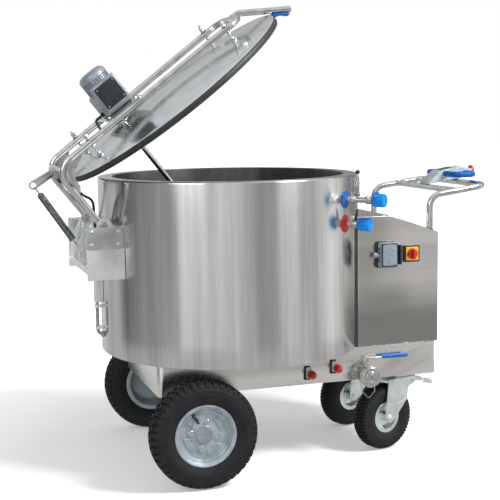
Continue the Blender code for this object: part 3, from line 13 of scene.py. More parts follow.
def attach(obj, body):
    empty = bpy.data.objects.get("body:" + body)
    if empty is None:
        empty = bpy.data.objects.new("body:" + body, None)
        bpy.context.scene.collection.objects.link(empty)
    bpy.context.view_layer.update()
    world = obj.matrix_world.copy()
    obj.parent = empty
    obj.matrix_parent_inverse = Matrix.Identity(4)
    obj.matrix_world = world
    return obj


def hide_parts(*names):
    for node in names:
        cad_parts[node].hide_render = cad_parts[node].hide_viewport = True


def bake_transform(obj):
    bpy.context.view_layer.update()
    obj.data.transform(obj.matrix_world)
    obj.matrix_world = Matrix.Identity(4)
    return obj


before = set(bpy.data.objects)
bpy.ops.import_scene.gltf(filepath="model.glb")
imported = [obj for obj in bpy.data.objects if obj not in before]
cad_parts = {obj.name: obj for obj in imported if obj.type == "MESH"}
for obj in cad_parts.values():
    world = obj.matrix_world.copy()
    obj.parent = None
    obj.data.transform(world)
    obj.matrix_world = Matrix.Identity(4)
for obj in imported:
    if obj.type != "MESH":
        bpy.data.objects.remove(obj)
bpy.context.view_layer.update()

# Sizes of the part
TANK_X = -0.155
TANK_R = 0.505
TANK_FLOOR_Z = 0.434
TANK_RIM_Z = 1.1
VESSEL_R = 0.45
VESSEL_FLOOR_Z = 0.468
TUBE_R = 0.0125
FRONT_Y = -0.28
PIVOT = Vector((-0.679, 0, 0.94))
LID_Z = TANK_RIM_Z + 0.001
LID_R = 0.487
SEAL_H = 0.022
LEG_Y = 0.145
LEG_H = 0.097
MOTOR_T = -0.19
MOTOR_BASE_H = LEG_H + 0.0143
SHAFT_T = -0.207
OUTLET = Vector((0.305, FRONT_Y, 0.324))
SWIVEL = radians(17)
LEVER_EYE = (-0.618, 1.191)
SPRING_FOOT = (-0.59, 0.839)
GAP = 0.0003

# Chassis, wheels, cabinet and handle, X measured from the tank's axis
TRAY_LEFT = -0.362
TRAY_RIGHT = 0.765
TRAY_Z = 0.305
DRIVE_X = -0.233
DRIVE_HALF_Y = 0.42
DRIVE_Z = 0.19758
CASTOR_X = 0.648
CASTOR_HALF_Y = 0.18
CASTOR_Z = 0.12951
CASTOR_TRAIL = 0.086
CABINET_LEFT = 0.429
CABINET_RIGHT = 0.77
CABINET_CREASE = 0.572
CABINET_TOP_Z = 0.937
CABINET_END_Z = 0.866
HANDLE_X = 0.74
HANDLE_END_X = 0.985
HANDLE_RUN = 0.245
HANDLE_RISE = 0.034
HANDLE_HALF_Y = 0.264
KNEE_Z = 1.006
HANDLE_END_Z = 1.04
CROSS_X = 0.855

# Cables, shaft and fittings
CABLE_R = 0.005
ARM_X = -0.53
CONDUIT_FOOT_Z = 0.502
SHAFT_R = 0.01
PADDLE_TIP_Z = 0.52
HOOK_R = 0.0125
OUTLET_CAP_SEAT = 0.0383
RED_INLET_Z = 0.925
RED_REACH = 0.082
INLET_DEGREES = -48

# Ways and patterns that many pieces share
FRONT = (0, -1, 0)
SIDES = ((-1, "near"), (1, "far"))
CORNERS = [(a, b) for a in (-1, 1) for b in (-1, 1)]


def at(x, y, z):
    """Point from a place measured from the tank's axis."""
    return Vector((TANK_X + x, y, z))


def lid_at(t, y, h):
    """Point on the shut lid, t along it from its centre and h above the tank rim."""
    return Vector((TANK_X + t, y, LID_Z + h))


OPENING = Matrix.Translation(PIVOT) @ Matrix.Rotation(radians(-38), 4, "Y") @ Matrix.Translation(-PIVOT)


def facing(direction, place=(0, 0, 0)):
    """Matrix whose local Z points along a direction, at a place."""
    turn = Vector(direction).to_track_quat("Z", "Y").to_matrix().to_4x4()
    return Matrix.Translation(place) @ turn


def around(x, y, z=0):
    """Matrix that moves a piece by x, y and z."""
    return Matrix.Translation((x, y, z))


def round_at(radius, angle, z=0):
    """Place on a circle about local Z."""
    return around(radius * cos(angle), radius * sin(angle), z)


def arc_points(centre, radius, degrees):
    """Points of a flat arc, one for each angle given."""
    return [(centre[0] + radius * cos(radians(a)), centre[1] + radius * sin(radians(a))) for a in degrees]


def from_axis(outline):
    """Outline whose first places are measured from the tank's axis, put where it stands."""
    return [(TANK_X + a, b) for a, b in outline]


# Making pieces by hand tools
def let_go():
    """Nothing selected, so that the next tool touches only its own piece."""
    active = bpy.context.view_layer.objects.active
    if active and active.mode != "OBJECT":
        bpy.ops.object.mode_set(mode="OBJECT")
    bpy.ops.object.select_all(action="DESELECT")


def pick(piece):
    """Make a piece the only one that the next tool works on."""
    let_go()
    piece.select_set(True)
    bpy.context.view_layer.objects.active = piece
    return piece


def settle(piece, place=Matrix()):
    """Move a piece and put its place into its mesh."""
    pick(piece)
    piece.matrix_world = place @ piece.matrix_world
    bpy.ops.object.transform_apply(location=True, rotation=True, scale=True)
    return piece


def tidy_mesh(piece, gap=0.00001):
    """Merge doubled points and turn every face outward."""
    pick(piece)
    bpy.ops.object.mode_set(mode="EDIT")
    bpy.ops.mesh.select_all(action="SELECT")
    bpy.ops.mesh.remove_doubles(threshold=gap)
    bpy.ops.mesh.normals_make_consistent(inside=False)
    bpy.ops.object.mode_set(mode="OBJECT")
    return piece


def turned(profile, place=Matrix(), count=48, ring=False):
    """Lathe work: a disc of the first radius, drawn out and resized to each radius and height."""
    let_go()
    radius, height = profile[0]
    fill = "NOTHING" if ring else "NGON"
    bpy.ops.mesh.primitive_circle_add(vertices=count, radius=radius, location=(0, 0, height), fill_type=fill)
    piece = bpy.context.object
    bpy.ops.object.transform_apply(location=True, rotation=False, scale=False)
    bpy.ops.object.mode_set(mode="EDIT")
    bpy.ops.mesh.select_all(action="SELECT")
    for new_radius, new_height in profile[1:] + (profile[:1] if ring else []):
        bpy.ops.mesh.extrude_region_move(TRANSFORM_OT_translate={"value": (0, 0, new_height - height)})
        share = new_radius / radius
        bpy.ops.transform.resize(value=(share, share, 1), center_override=(0, 0, new_height))
        radius, height = new_radius, new_height
    bpy.ops.object.mode_set(mode="OBJECT")
    return settle(tidy_mesh(piece), place)


def plate(outline, low, high, plane="XZ"):
    """Sheet cut to an outline drawn in one plane, then drawn out to its thickness."""
    let_go()
    bpy.ops.mesh.primitive_circle_add(vertices=len(outline), radius=1, fill_type="NGON")
    piece = bpy.context.object
    order = {"XZ": (0, 2, 1), "XY": (0, 1, 2), "YZ": (2, 0, 1)}[plane]
    for point, (a, b) in zip(piece.data.vertices, outline):
        point.co = [(a, b, low)[i] for i in order]
    bpy.ops.object.mode_set(mode="EDIT")
    bpy.ops.mesh.select_all(action="SELECT")
    push = [(0, 0, high - low)[i] for i in order]
    bpy.ops.mesh.extrude_region_move(TRANSFORM_OT_translate={"value": push})
    bpy.ops.object.mode_set(mode="OBJECT")
    return tidy_mesh(piece)


def block(low, high, edge=0.0, segments=3):
    """Cube sized between two corners, with its edges rounded."""
    let_go()
    low = Vector(low)
    high = Vector(high)
    bpy.ops.mesh.primitive_cube_add(size=1, location=(low + high) / 2, scale=high - low)
    piece = settle(bpy.context.object)
    return softened(piece, edge, segments) if edge else piece


def softened(piece, width, segments=2, angle=30):
    """Round the sharp edges of a piece."""
    pick(piece)
    bevel = piece.modifiers.new("soft", "BEVEL")
    bevel.width = width
    bevel.segments = segments
    bevel.limit_method = "ANGLE"
    bevel.angle_limit = radians(angle)
    bpy.ops.object.modifier_apply(modifier=bevel.name)
    return piece


def cut(piece, *tools):
    """Cut tools out of a piece."""
    for tool in tools:
        pick(piece)
        bite = piece.modifiers.new("cut", "BOOLEAN")
        bite.operation = "DIFFERENCE"
        bite.solver = "EXACT"
        bite.object = tool
        bpy.ops.object.modifier_apply(modifier=bite.name)
        bpy.data.objects.remove(tool)
    return piece


def joined(*pieces):
    """Several pieces in one object."""
    let_go()
    for piece in pieces:
        piece.select_set(True)
    bpy.context.view_layer.objects.active = pieces[0]
    if len(pieces) > 1:
        bpy.ops.object.join()
    return pieces[0]


def copied(piece, place):
    """A copy with a mesh of its own, moved to a new place."""
    pick(piece)
    bpy.ops.object.duplicate(linked=False)
    return settle(bpy.context.object, place)


def repeated(piece, places):
    """One piece at each of several places; the first is only a pattern."""
    made = [copied(piece, place) for place in places]
    bpy.data.objects.remove(piece)
    return joined(*made)


def arcs(corners, radius, closed=False, steps=8):
    """Points of a line whose corners are bent to one radius."""
    points = [Vector(c) for c in corners]
    if radius <= 0:
        return points
    made = []
    for i, here in enumerate(points):
        if not closed and i in (0, len(points) - 1):
            made.append(here)
            continue
        back = (points[i - 1] - here).normalized()
        ahead = (points[(i + 1) % len(points)] - here).normalized()
        half = back.angle(ahead) / 2
        if half > radians(89):
            made.append(here)
            continue
        setback = radius / tan(half)
        centre = here + (back + ahead).normalized() * (radius / sin(half))
        first = here + back * setback - centre
        last = here + ahead * setback - centre
        axis = first.cross(last).normalized()
        for k in range(steps + 1):
            made.append(centre + Matrix.Rotation(first.angle(last) * k / steps, 3, axis) @ first)
    return made


def flat_arcs(corners, radius, steps=5):
    """Closed flat outline with rounded corners."""
    return [(p.x, p.y) for p in arcs([(a, b, 0) for a, b in corners], radius, True, steps)]


def box_outline(a, b, half_a, half_b, radius):
    """Outline of a rounded rectangle about a middle."""
    corners = [
        (a - half_a, b - half_b), (a + half_a, b - half_b), (a + half_a, b + half_b),
        (a - half_a, b + half_b)
    ]
    return flat_arcs(corners, radius)


def tube(path, radius, bend=0.0, closed=False, sides=5, ends=True):
    """Round tube drawn along a line whose corners are bent."""
    let_go()
    bpy.ops.curve.primitive_nurbs_path_add()
    piece = bpy.context.object
    piece.location = (0, 0, 0)
    line = piece.data
    line.splines.clear()
    points = arcs(path, bend, closed)
    spline = line.splines.new("POLY")
    spline.points.add(len(points) - 1)
    for spot, point in zip(spline.points, points):
        spot.co = (*point, 1)
    spline.use_cyclic_u = closed
    line.bevel_depth = radius
    line.bevel_resolution = sides
    line.use_fill_caps = ends and not closed
    bpy.ops.object.convert(target="MESH")
    return tidy_mesh(bpy.context.object)


def bar(start, end, radius, count=24, edge=0.0):
    """Round bar from point to point with broken edges."""
    start = Vector(start)
    end = Vector(end)
    length = (end - start).length
    e = edge
    profile = [(radius - e, 0), (radius, e), (radius, length - e), (radius - e, length)]
    return turned(profile if e else [(radius, 0), (radius, length)], facing(end - start, start), count)


def bead(centre, across, radius, thick=0.0018):
    """Weld bead round a joint."""
    place = facing(across, centre)
    path = [place @ Vector((radius * cos(pi * k / 16), radius * sin(pi * k / 16), 0)) for k in range(32)]
    return tube(path, thick, closed=True, sides=2)


def hex_bolt(place, size, height, washer=True):
    """Hexagon head with a chamfered top, a washer and a domed shank end."""
    head = turned([(size, 0), (size, height * 0.82), (size * 0.86, height)], count=6)
    parts = [softened(head, size * 0.06, 2, 25)]
    if washer:
        parts.append(turned([(size * 1.25, -0.0002), (size * 1.25, 0.001), (size * 1.15, 0.0014)], count=32))
    parts.append(
        turned(
            [(size * 0.42, height - 0.0005), (size * 0.42, height + 0.0016), (size * 0.3, height + 0.0022)],
            count=16
        )
    )
    return settle(joined(*parts), place)


def dome_bolt(place, radius):
    """Domed head on a washer."""
    washer = turned([(radius * 1.2, -0.0002), (radius * 1.2, 0.001), (radius * 1.1, 0.0014)], count=32)
    r = radius * 0.86
    head = turned(
        [
            (r, 0.001), (r, 0.0022), (r * 0.9, 0.0036), (r * 0.68, 0.005), (r * 0.4, 0.0058),
            (r * 0.1, 0.006)
        ],
        count=32
    )
    return settle(joined(washer, head), place)


def screw_head(place, radius, height):
    """Pan head with a hexagon socket."""
    head = turned([(radius, 0), (radius, height * 0.6), (radius * 0.8, height)], count=24)
    socket = turned([(radius * 0.42, height * 0.4), (radius * 0.42, height * 1.5)], count=6)
    return settle(cut(head, socket), place)


def done(name, piece, finish, body, *nodes, angle=35):
    """Name a finished piece, give it its finish and hand it to its body."""
    piece.name = name
    piece.data.name = name
    piece.data.materials.clear()
    piece.data.materials.append(finish)
    pick(piece)
    bpy.ops.object.shade_smooth_by_angle(angle=radians(angle))
    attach(piece, body)
    if nodes:
        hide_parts(*nodes)
    return piece


def on_lid(name, piece, finish, *nodes, body="lid", angle=35):
    """A piece modelled on the shut lid, swung open with it."""
    return done(name, settle(piece, OPENING), finish, body, *nodes, angle=angle)


# Finishes
def shade(code):
    """Linear colour from an sRGB hex code."""
    parts = [int(code[i : i + 2], 16) / 255 for i in (1, 3, 5)]
    return tuple(p / 12.92 if p <= 0.04045 else ((p + 0.055) / 1.055) ** 2.4 for p in parts) + (1.0,)


def add(tree, kind, settings={}, inputs={}):
    """One node with its settings, socket values and links."""
    made = tree.nodes.new(kind)
    for key, value in settings.items():
        setattr(made, key, value)
    for key, value in inputs.items():
        if isinstance(value, bpy.types.NodeSocket):
            tree.links.new(value, made.inputs[key])
        else:
            made.inputs[key].default_value = value
    return made


def per_mm(size):
    """Noise scale whose lumps are about this many millimetres."""
    return 1000.0 / size


def finish_of(name, dark, light, patch, rough, grain, depth, metal=0.0, stretch=(1, 1, 1), gloss={}):
    """Finish with patches of two tones, a fine grain, and a roughness that wanders with it.

    patch, grain and the grain's depth are millimetres, and rough is lowest and highest.
    Grains under 2 mm are drawn coarser than the real ones, because those are too fine to show.
    """
    material = bpy.data.materials.new(name)
    material.use_nodes = True
    tree = material.node_tree
    tree.nodes.clear()
    place = add(tree, "ShaderNodeTexCoord").outputs["Object"]
    turn = add(tree, "ShaderNodeMapping", {}, {"Vector": place, "Scale": stretch}).outputs["Vector"]
    patches = add(tree, "ShaderNodeTexNoise", {}, {"Vector": turn, "Scale": per_mm(patch), "Detail": 4.0})
    tones = add(tree, "ShaderNodeValToRGB", {}, {"Fac": patches.outputs["Fac"]})
    tones.color_ramp.elements[0].position = 0.35
    tones.color_ramp.elements[1].position = 0.65
    tones.color_ramp.elements[0].color = shade(dark)
    tones.color_ramp.elements[1].color = shade(light)
    lines = add(tree, "ShaderNodeTexNoise", {}, {"Vector": turn, "Scale": per_mm(grain), "Detail": 3.0})
    blur = add(
        tree, "ShaderNodeMapRange", {}, {"Value": lines.outputs["Fac"], "From Min": 0.3, "From Max": 0.7}
    )
    blur.inputs["To Min"].default_value = rough[0]
    blur.inputs["To Max"].default_value = rough[1]
    lumps = add(
        tree, "ShaderNodeBump", {},
        {"Height": lines.outputs["Fac"], "Strength": 0.6, "Distance": depth / 1000}
    )
    values = {"Base Color": tones.outputs["Color"], "Roughness": blur.outputs["Result"], "Metallic": metal}
    values["Normal"] = lumps.outputs["Normal"]
    values.update(gloss)
    skin = add(tree, "ShaderNodeBsdfPrincipled", {"name": "skin"}, values)
    add(tree, "ShaderNodeOutputMaterial", {}, {"Surface": skin.outputs["BSDF"]})
    return material


def steel_wall():
    """Rolled stainless sheet ground round the tank: tall soft streaks in its tone, partly real polish shifts
    and partly painted reflection bands, and fine lines running round.
    """
    material = bpy.data.materials.new("ground_stainless_wall")
    material.use_nodes = True
    tree = material.node_tree
    tree.nodes.clear()
    place = add(tree, "ShaderNodeTexCoord").outputs["Object"]
    tall = add(tree, "ShaderNodeMapping", {}, {"Vector": place, "Scale": (1, 1, 0.04)}).outputs["Vector"]
    wide = add(
        tree, "ShaderNodeTexNoise", {},
        {"Vector": tall, "Scale": per_mm(90), "Detail": 5.0, "Roughness": 0.6}
    )
    # Upright streaks in the base colour: partly the sheet's own tone shifts, partly painted reflection bands
    tones = add(tree, "ShaderNodeValToRGB", {}, {"Fac": wide.outputs["Fac"]})
    tones.color_ramp.elements[0].position = 0.36
    tones.color_ramp.elements[1].position = 0.64
    tones.color_ramp.elements[0].color = shade("#BDBBB8")
    tones.color_ramp.elements[1].color = shade("#E6E6E5")
    flat = add(tree, "ShaderNodeMapping", {}, {"Vector": place, "Scale": (0.02, 0.02, 1)}).outputs["Vector"]
    lines = add(tree, "ShaderNodeTexNoise", {}, {"Vector": flat, "Scale": per_mm(1.6), "Detail": 2.0})
    blur = add(
        tree, "ShaderNodeMapRange", {}, {"Value": lines.outputs["Fac"], "To Min": 0.16, "To Max": 0.26}
    )
    lumps = add(
        tree, "ShaderNodeBump", {}, {"Height": lines.outputs["Fac"], "Strength": 0.25, "Distance": 0.00006}
    )
    around_z = add(tree, "ShaderNodeTangent", {"direction_type": "RADIAL", "axis": "Z"}).outputs["Tangent"]
    values = {"Base Color": tones.outputs["Color"], "Metallic": 1.0, "Roughness": blur.outputs["Result"]}
    values.update(
        {
            "Normal": lumps.outputs["Normal"], "Anisotropic": 0.8, "Anisotropic Rotation": 0.25,
            "Tangent": around_z
        }
    )
    skin = add(tree, "ShaderNodeBsdfPrincipled", {"name": "skin"}, values)
    add(tree, "ShaderNodeOutputMaterial", {}, {"Surface": skin.outputs["BSDF"]})
    return material


def duller_below(material, high, low, share):
    """Painted shade at the foot of a sheet, in place of the darker reflection it shows low down: its tone
    falls to a share from height high to low.
    """
    tree = material.node_tree
    skin = tree.nodes["skin"]
    tone = skin.inputs["Base Color"].links[0].from_socket
    place = add(tree, "ShaderNodeTexCoord").outputs["Object"]
    height = add(tree, "ShaderNodeSeparateXYZ", {}, {"Vector": place}).outputs["Z"]
    span = {"Value": height, "From Min": low, "From Max": high, "To Min": share, "To Max": 1.0}
    fall = add(tree, "ShaderNodeMapRange", {"interpolation_type": "SMOOTHSTEP"}, span).outputs["Result"]
    dull = add(
        tree, "ShaderNodeVectorMath", {"operation": "SCALE"}, {0: tone, "Scale": fall}
    ).outputs["Vector"]
    tree.links.new(dull, skin.inputs["Base Color"])


# Rolled stainless ground round the tank: tall pale streaks, partly tone shifts and partly painted reflection
# bands, and highlights drawn out sideways
WALL = steel_wall()
# Pickled stainless: a dull grey bowl without clear reflections
INSIDE = finish_of(
    "pickled_stainless_inside", "#626463", "#7C7E7D", 60, (0.28, 0.4), 2.5, 0.05, 1.0, (1, 1, 0.3)
)
# Polished stainless: a near mirror with faint waves
MIRROR = finish_of("polished_stainless_dome", "#D2D7D9", "#ECEFF0", 110, (0.1, 0.2), 6, 0.03, 1.0)
# Polished stainless tube: narrow bright lines along each bend
TUBE = finish_of("polished_stainless_tube", "#BFC0BF", "#D8D8D6", 40, (0.12, 0.22), 1.6, 0.02, 1.0)
# Satin stainless: soft upright streaks, darkened towards the foot by painted shade
CABINET_SHEET = finish_of(
    "satin_cabinet_sheet", "#CFCCC8", "#E2DFDB", 70, (0.16, 0.26), 1.4, 0.03, 1.0, (0.03, 0.03, 1)
)
# Painted shade: the cabinet's tone falls to 0.55 between 0.7 m and 0.54 m
duller_below(CABINET_SHEET, 0.7, 0.54, 0.55)
# Brushed stainless in a lighter copy of the sheet tone, a painted highlight: broad light reflections with no
# clear edge
TRAY_SHEET = finish_of(
    "pale_stainless_tray", "#DDDBD7", "#F2F0ED", 70, (0.2, 0.3), 1.4, 0.03, 1.0, (0.03, 0.03, 1)
)
# Folded stainless: pale and blurred, lighter than the tank wall
BRIGHT_SHEET = finish_of("folded_stainless_sheet", "#E6E8E9", "#F7F8F8", 60, (0.26, 0.36), 1.8, 0.02, 1.0)
# Turned stainless: fine tool marks that break up each highlight
FORGED = finish_of("turned_stainless", "#B8B8B6", "#D4D4D2", 12, (0.12, 0.26), 1.2, 0.03, 1.0)
# Zinc-plated steel: pale, faintly green, with a milky sheen
ZINC = finish_of("zinc_plated_steel", "#DDE6E5", "#F2F8F7", 34, (0.26, 0.38), 2.2, 0.03, 1.0)
# Bright zinc: small sharp glints on every head
BOLT = finish_of("bright_zinc_bolts", "#B9BEC0", "#E0E4E6", 6, (0.16, 0.28), 1.0, 0.03, 1.0)
# Silver paint on pressed steel: flat grey with a weak metallic shimmer
RIM_PAINT = finish_of("silver_painted_steel", "#8D999F", "#A6B1B7", 35, (0.32, 0.44), 1.8, 0.05, 0.35)
# Grey paint on a pressed cap: a shade darker than the rim, without glints
HUB_PAINT = finish_of("grey_painted_hub_cap", "#7C888C", "#8F9B9F", 18, (0.36, 0.48), 1.4, 0.05, 0.35)
# Dull stainless: greyer than the folded sheet round it
COVER_SHEET = finish_of("dull_stainless_cover", "#BCBFC0", "#CFD1D1", 40, (0.28, 0.38), 1.8, 0.02, 1.0)
# Tyre rubber: near black and matt, in faintly lighter patches
RUBBER = finish_of(
    "black_tyre_rubber", "#0E0F12", "#191A1E", 28, (0.5, 0.72), 1.5, 0.12,
    gloss={"Specular IOR Level": 0.35}
)
# Moulded rubber: dark grey with a wide soft sheen
SEAL = finish_of("moulded_rubber_seal", "#1E2124", "#2B2F33", 30, (0.45, 0.62), 1.5, 0.05)
# Moulded plastic: black, low sheen, fine grain
BLACK_PLASTIC = finish_of("black_moulded_plastic", "#17181A", "#232528", 14, (0.38, 0.52), 0.9, 0.05)
# Cable sheath: black and a little smoother than rubber
CABLE = finish_of("black_cable_sheath", "#1A1B1D", "#2A2B2E", 18, (0.42, 0.58), 1.2, 0.04)
# Cable sheath: waxy mid grey
CONDUIT = finish_of("grey_cable_sheath", "#8B9091", "#A2A6A7", 22, (0.42, 0.58), 1.2, 0.05)
# Moulded plastic: strong light blue with a soft gloss
AZURE = finish_of(
    "azure_moulded_plastic", "#0072C8", "#0088E4", 16, (0.3, 0.42), 1.0, 0.03,
    gloss={"Specular IOR Level": 0.3}
)
# Moulded plastic: deep blue with a soft gloss
DEEP_BLUE = finish_of(
    "deep_blue_moulded_plastic", "#04468A", "#0A5AA6", 16, (0.3, 0.44), 1.0, 0.03,
    gloss={"Specular IOR Level": 0.4}
)
# Dipped vinyl: deep blue and dull, with no hard glint
GRIP_BLUE = finish_of(
    "blue_dipped_vinyl", "#04509C", "#0C62B4", 20, (0.46, 0.58), 1.1, 0.05,
    gloss={"Specular IOR Level": 0.28}
)
# Moulded plastic: dark red with a soft gloss
CRIMSON = finish_of("crimson_moulded_plastic", "#9E1420", "#B81C2A", 14, (0.28, 0.42), 1.0, 0.03)
# Moulded plastic: warm red, slightly glossy
RED = finish_of("red_moulded_plastic", "#B0241A", "#C83224", 12, (0.3, 0.42), 0.9, 0.03)
# Moulded plastic: warm yellow, slightly dull
YELLOW = finish_of("yellow_moulded_plastic", "#E9A929", "#F6BE3C", 16, (0.34, 0.46), 0.9, 0.03)
# Moulded plastic: off-white, a little yellowed
CREAM = finish_of("cream_moulded_plastic", "#C9C4B2", "#DAD6C6", 10, (0.35, 0.5), 0.9, 0.03)
# Painted casting: blue-grey, with the slight waves of thick paint
MOTOR_PAINT = finish_of("grey_painted_casting", "#848D97", "#9AA3AC", 26, (0.36, 0.5), 2.0, 0.12, 0.2)
# Die-cast housing: blue-grey and a little rough
CAST_GREY = finish_of("grey_die_cast_housing", "#74838D", "#8997A1", 14, (0.36, 0.5), 1.2, 0.08, 0.1)
# Textured ABS: pale grey, matt, finely pebbled
HEAD_GREY = finish_of("grey_textured_abs", "#9AA6AF", "#B4BEC6", 20, (0.42, 0.56), 0.9, 0.07)
# Textured ABS: charcoal, matt
DARK_GREY = finish_of("dark_textured_abs", "#3A4148", "#4A525A", 14, (0.42, 0.56), 0.9, 0.07)
# Black paint on steel: low gloss over small lumps
BLACK_PAINT = finish_of("black_painted_steel", "#1B1C1E", "#2A2C2E", 30, (0.36, 0.52), 1.8, 0.08)
# Rigid foam: straw coloured, matt, open pores
FOAM = finish_of("rigid_foam", "#C9B77A", "#DCCB90", 8, (0.85, 0.95), 2.5, 0.4)
# Zinc-plated wire: dark grey with a thin bright line on each turn
SPRING_STEEL = finish_of("zinc_plated_spring_wire", "#6E7273", "#9A9E9F", 8, (0.24, 0.36), 1.2, 0.03, 1.0)


CAMERA_AT = (-1.4132, -4.1852, 1.3519)


def place_camera():
    """Camera at the viewing angle of the photograph."""
    data = bpy.data.cameras.new("camera")
    data.sensor_width = 36.0
    data.lens = 80.55
    data.clip_end = 100
    camera = bpy.data.objects.new("camera", data)
    bpy.context.scene.collection.objects.link(camera)
    yaw, pitch, roll = 0.311, 0.1258, -0.0132
    ahead = Vector((sin(yaw) * cos(pitch), cos(yaw) * cos(pitch), -sin(pitch)))
    right = Vector((cos(yaw), -sin(yaw), 0))
    up = right.cross(ahead)
    right_rolled = right * cos(roll) + up * sin(roll)
    up_rolled = up * cos(roll) - right * sin(roll)
    turn = Matrix((right_rolled, up_rolled, -ahead)).transposed().to_4x4()
    camera.matrix_world = Matrix.Translation(CAMERA_AT) @ turn
    bpy.context.scene.camera = camera


# Brightness of what stands round the cart, by the share of the way round
BANDS = [
    (0.0, 0.45), (0.1, 0.66), (0.185, 0.54), (0.21, 0.15), (0.25, 0.22), (0.3, 0.36), (0.37, 0.38),
    (0.385, 0.8)
]
BANDS += [(0.48, 0.82), (0.54, 0.62), (0.562, 0.38), (0.61, 0.36), (0.63, 0.62), (0.72, 0.52), (0.745, 0.8)]
BANDS += [(0.8, 0.98), (0.835, 0.52), (0.87, 0.26), (0.95, 0.3)]

# Strips below eye level in front, from level down to 19 degrees, seen in the flat fronts
STRIPES = [(0.0, 0.62), (0.3, 0.55), (0.4, 0.66), (0.46, 0.6), (0.54, 0.17), (0.66, 0.14), (0.74, 0.3)]
STRIPES += [(0.82, 0.62), (1.0, 0.66)]
FRONT_WAY = 0.614


def fill_ramp(stops, values):
    """Grey levels along a ramp."""
    while len(stops) < len(values):
        stops.new(0.5)
    for stop, (spot, value) in zip(stops, values):
        stop.position = spot
        stop.color = (value, value, value, 1)


def light_studio():
    """Plain pale studio: white surroundings, soft key light from the right of the front."""
    scene = bpy.context.scene
    scene.view_settings.view_transform = "Standard"
    world = bpy.data.worlds.new("studio")
    scene.world = world
    world.use_nodes = True
    tree = world.node_tree
    tree.nodes.clear()
    way = add(tree, "ShaderNodeTexCoord").outputs["Generated"]
    spun = add(
        tree, "ShaderNodeVectorRotate", {"rotation_type": "Z_AXIS"},
        {"Vector": way, "Angle": radians(106.7)}
    )
    parts = add(tree, "ShaderNodeSeparateXYZ", {}, {"Vector": spun.outputs["Vector"]}).outputs
    level = parts["Z"]
    angle = add(tree, "ShaderNodeMath", {"operation": "ARCTAN2"}, {0: parts["Y"], 1: parts["X"]}).outputs[0]
    share = add(
        tree, "ShaderNodeMapRange", {}, {"Value": angle, "From Min": -pi, "From Max": pi}
    ).outputs["Result"]
    bands = add(tree, "ShaderNodeValToRGB", {}, {"Fac": share})
    fill_ramp(bands.color_ramp.elements, BANDS)
    height = add(
        tree, "ShaderNodeMapRange", {}, {"Value": level, "From Min": 0.35, "From Max": 0.85}
    ).outputs["Result"]
    sky = add(
        tree, "ShaderNodeMix", {"data_type": "RGBA"},
        {"Factor": height, 6: bands.outputs["Color"], 7: (0.85, 0.86, 0.87, 1)}
    )
    low = add(
        tree, "ShaderNodeMapRange", {}, {"Value": level, "From Min": 0.0, "From Max": -0.32}
    ).outputs["Result"]
    stripes = add(tree, "ShaderNodeValToRGB", {}, {"Fac": low})
    fill_ramp(stripes.color_ramp.elements, STRIPES)
    edges = []
    for side in (-1, 1):
        span = {"Value": share, "From Min": FRONT_WAY + side * 0.026, "From Max": FRONT_WAY + side * 0.012}
        edges.append(add(tree, "ShaderNodeMapRange", {}, span).outputs["Result"])
    window = add(tree, "ShaderNodeMath", {"operation": "MINIMUM"}, dict(enumerate(edges))).outputs[0]
    below = add(
        tree, "ShaderNodeMapRange", {}, {"Value": level, "From Min": -0.02, "From Max": -0.06}
    ).outputs["Result"]
    amount = add(tree, "ShaderNodeMath", {"operation": "MULTIPLY"}, {0: window, 1: below}).outputs[0]
    striped = add(
        tree, "ShaderNodeMix", {"data_type": "RGBA"},
        {"Factor": amount, 6: sky.outputs[2], 7: stripes.outputs["Color"]}
    )
    ground = add(
        tree, "ShaderNodeMapRange", {}, {"Value": level, "From Min": -0.2, "From Max": -0.32}
    ).outputs["Result"]
    room = add(
        tree, "ShaderNodeMix", {"data_type": "RGBA"},
        {"Factor": ground, 6: striped.outputs[2], 7: (0.56, 0.56, 0.56, 1)}
    )
    path = add(tree, "ShaderNodeLightPath").outputs
    soft = add(tree, "ShaderNodeBackground", {}, {"Color": (1, 1, 1, 1), "Strength": 0.42})
    shown = add(tree, "ShaderNodeBackground", {}, {"Color": room.outputs[2], "Strength": 1.0})
    clear = add(tree, "ShaderNodeBackground", {}, {"Color": (1, 1, 1, 1), "Strength": 1.0})
    glossy = add(
        tree, "ShaderNodeMixShader", {}, {0: path["Is Glossy Ray"], 1: soft.outputs[0], 2: shown.outputs[0]}
    )
    seen = add(
        tree, "ShaderNodeMath", {"operation": "MAXIMUM"},
        {0: path["Is Camera Ray"], 1: path["Is Transmission Ray"]}
    )
    final = add(
        tree, "ShaderNodeMixShader", {}, {0: seen.outputs[0], 1: glossy.outputs[0], 2: clear.outputs[0]}
    )
    add(tree, "ShaderNodeOutputWorld", {}, {"Surface": final.outputs[0]})

    for name, spot, size, power in (
        ("key", (3.4, -3.2, 4.8), 1.6, 420), ("fill", (-4.2, -3.2, 3.2), 2.8, 60)
    ):
        data = bpy.data.lights.new(name, "AREA")
        data.energy = power
        data.size = size
        lamp = bpy.data.objects.new(name, data)
        scene.collection.objects.link(lamp)
        lamp.location = spot
        lamp.rotation_euler = (Vector((0, 0, 0.7)) - Vector(spot)).to_track_quat("-Z", "Y").to_euler()


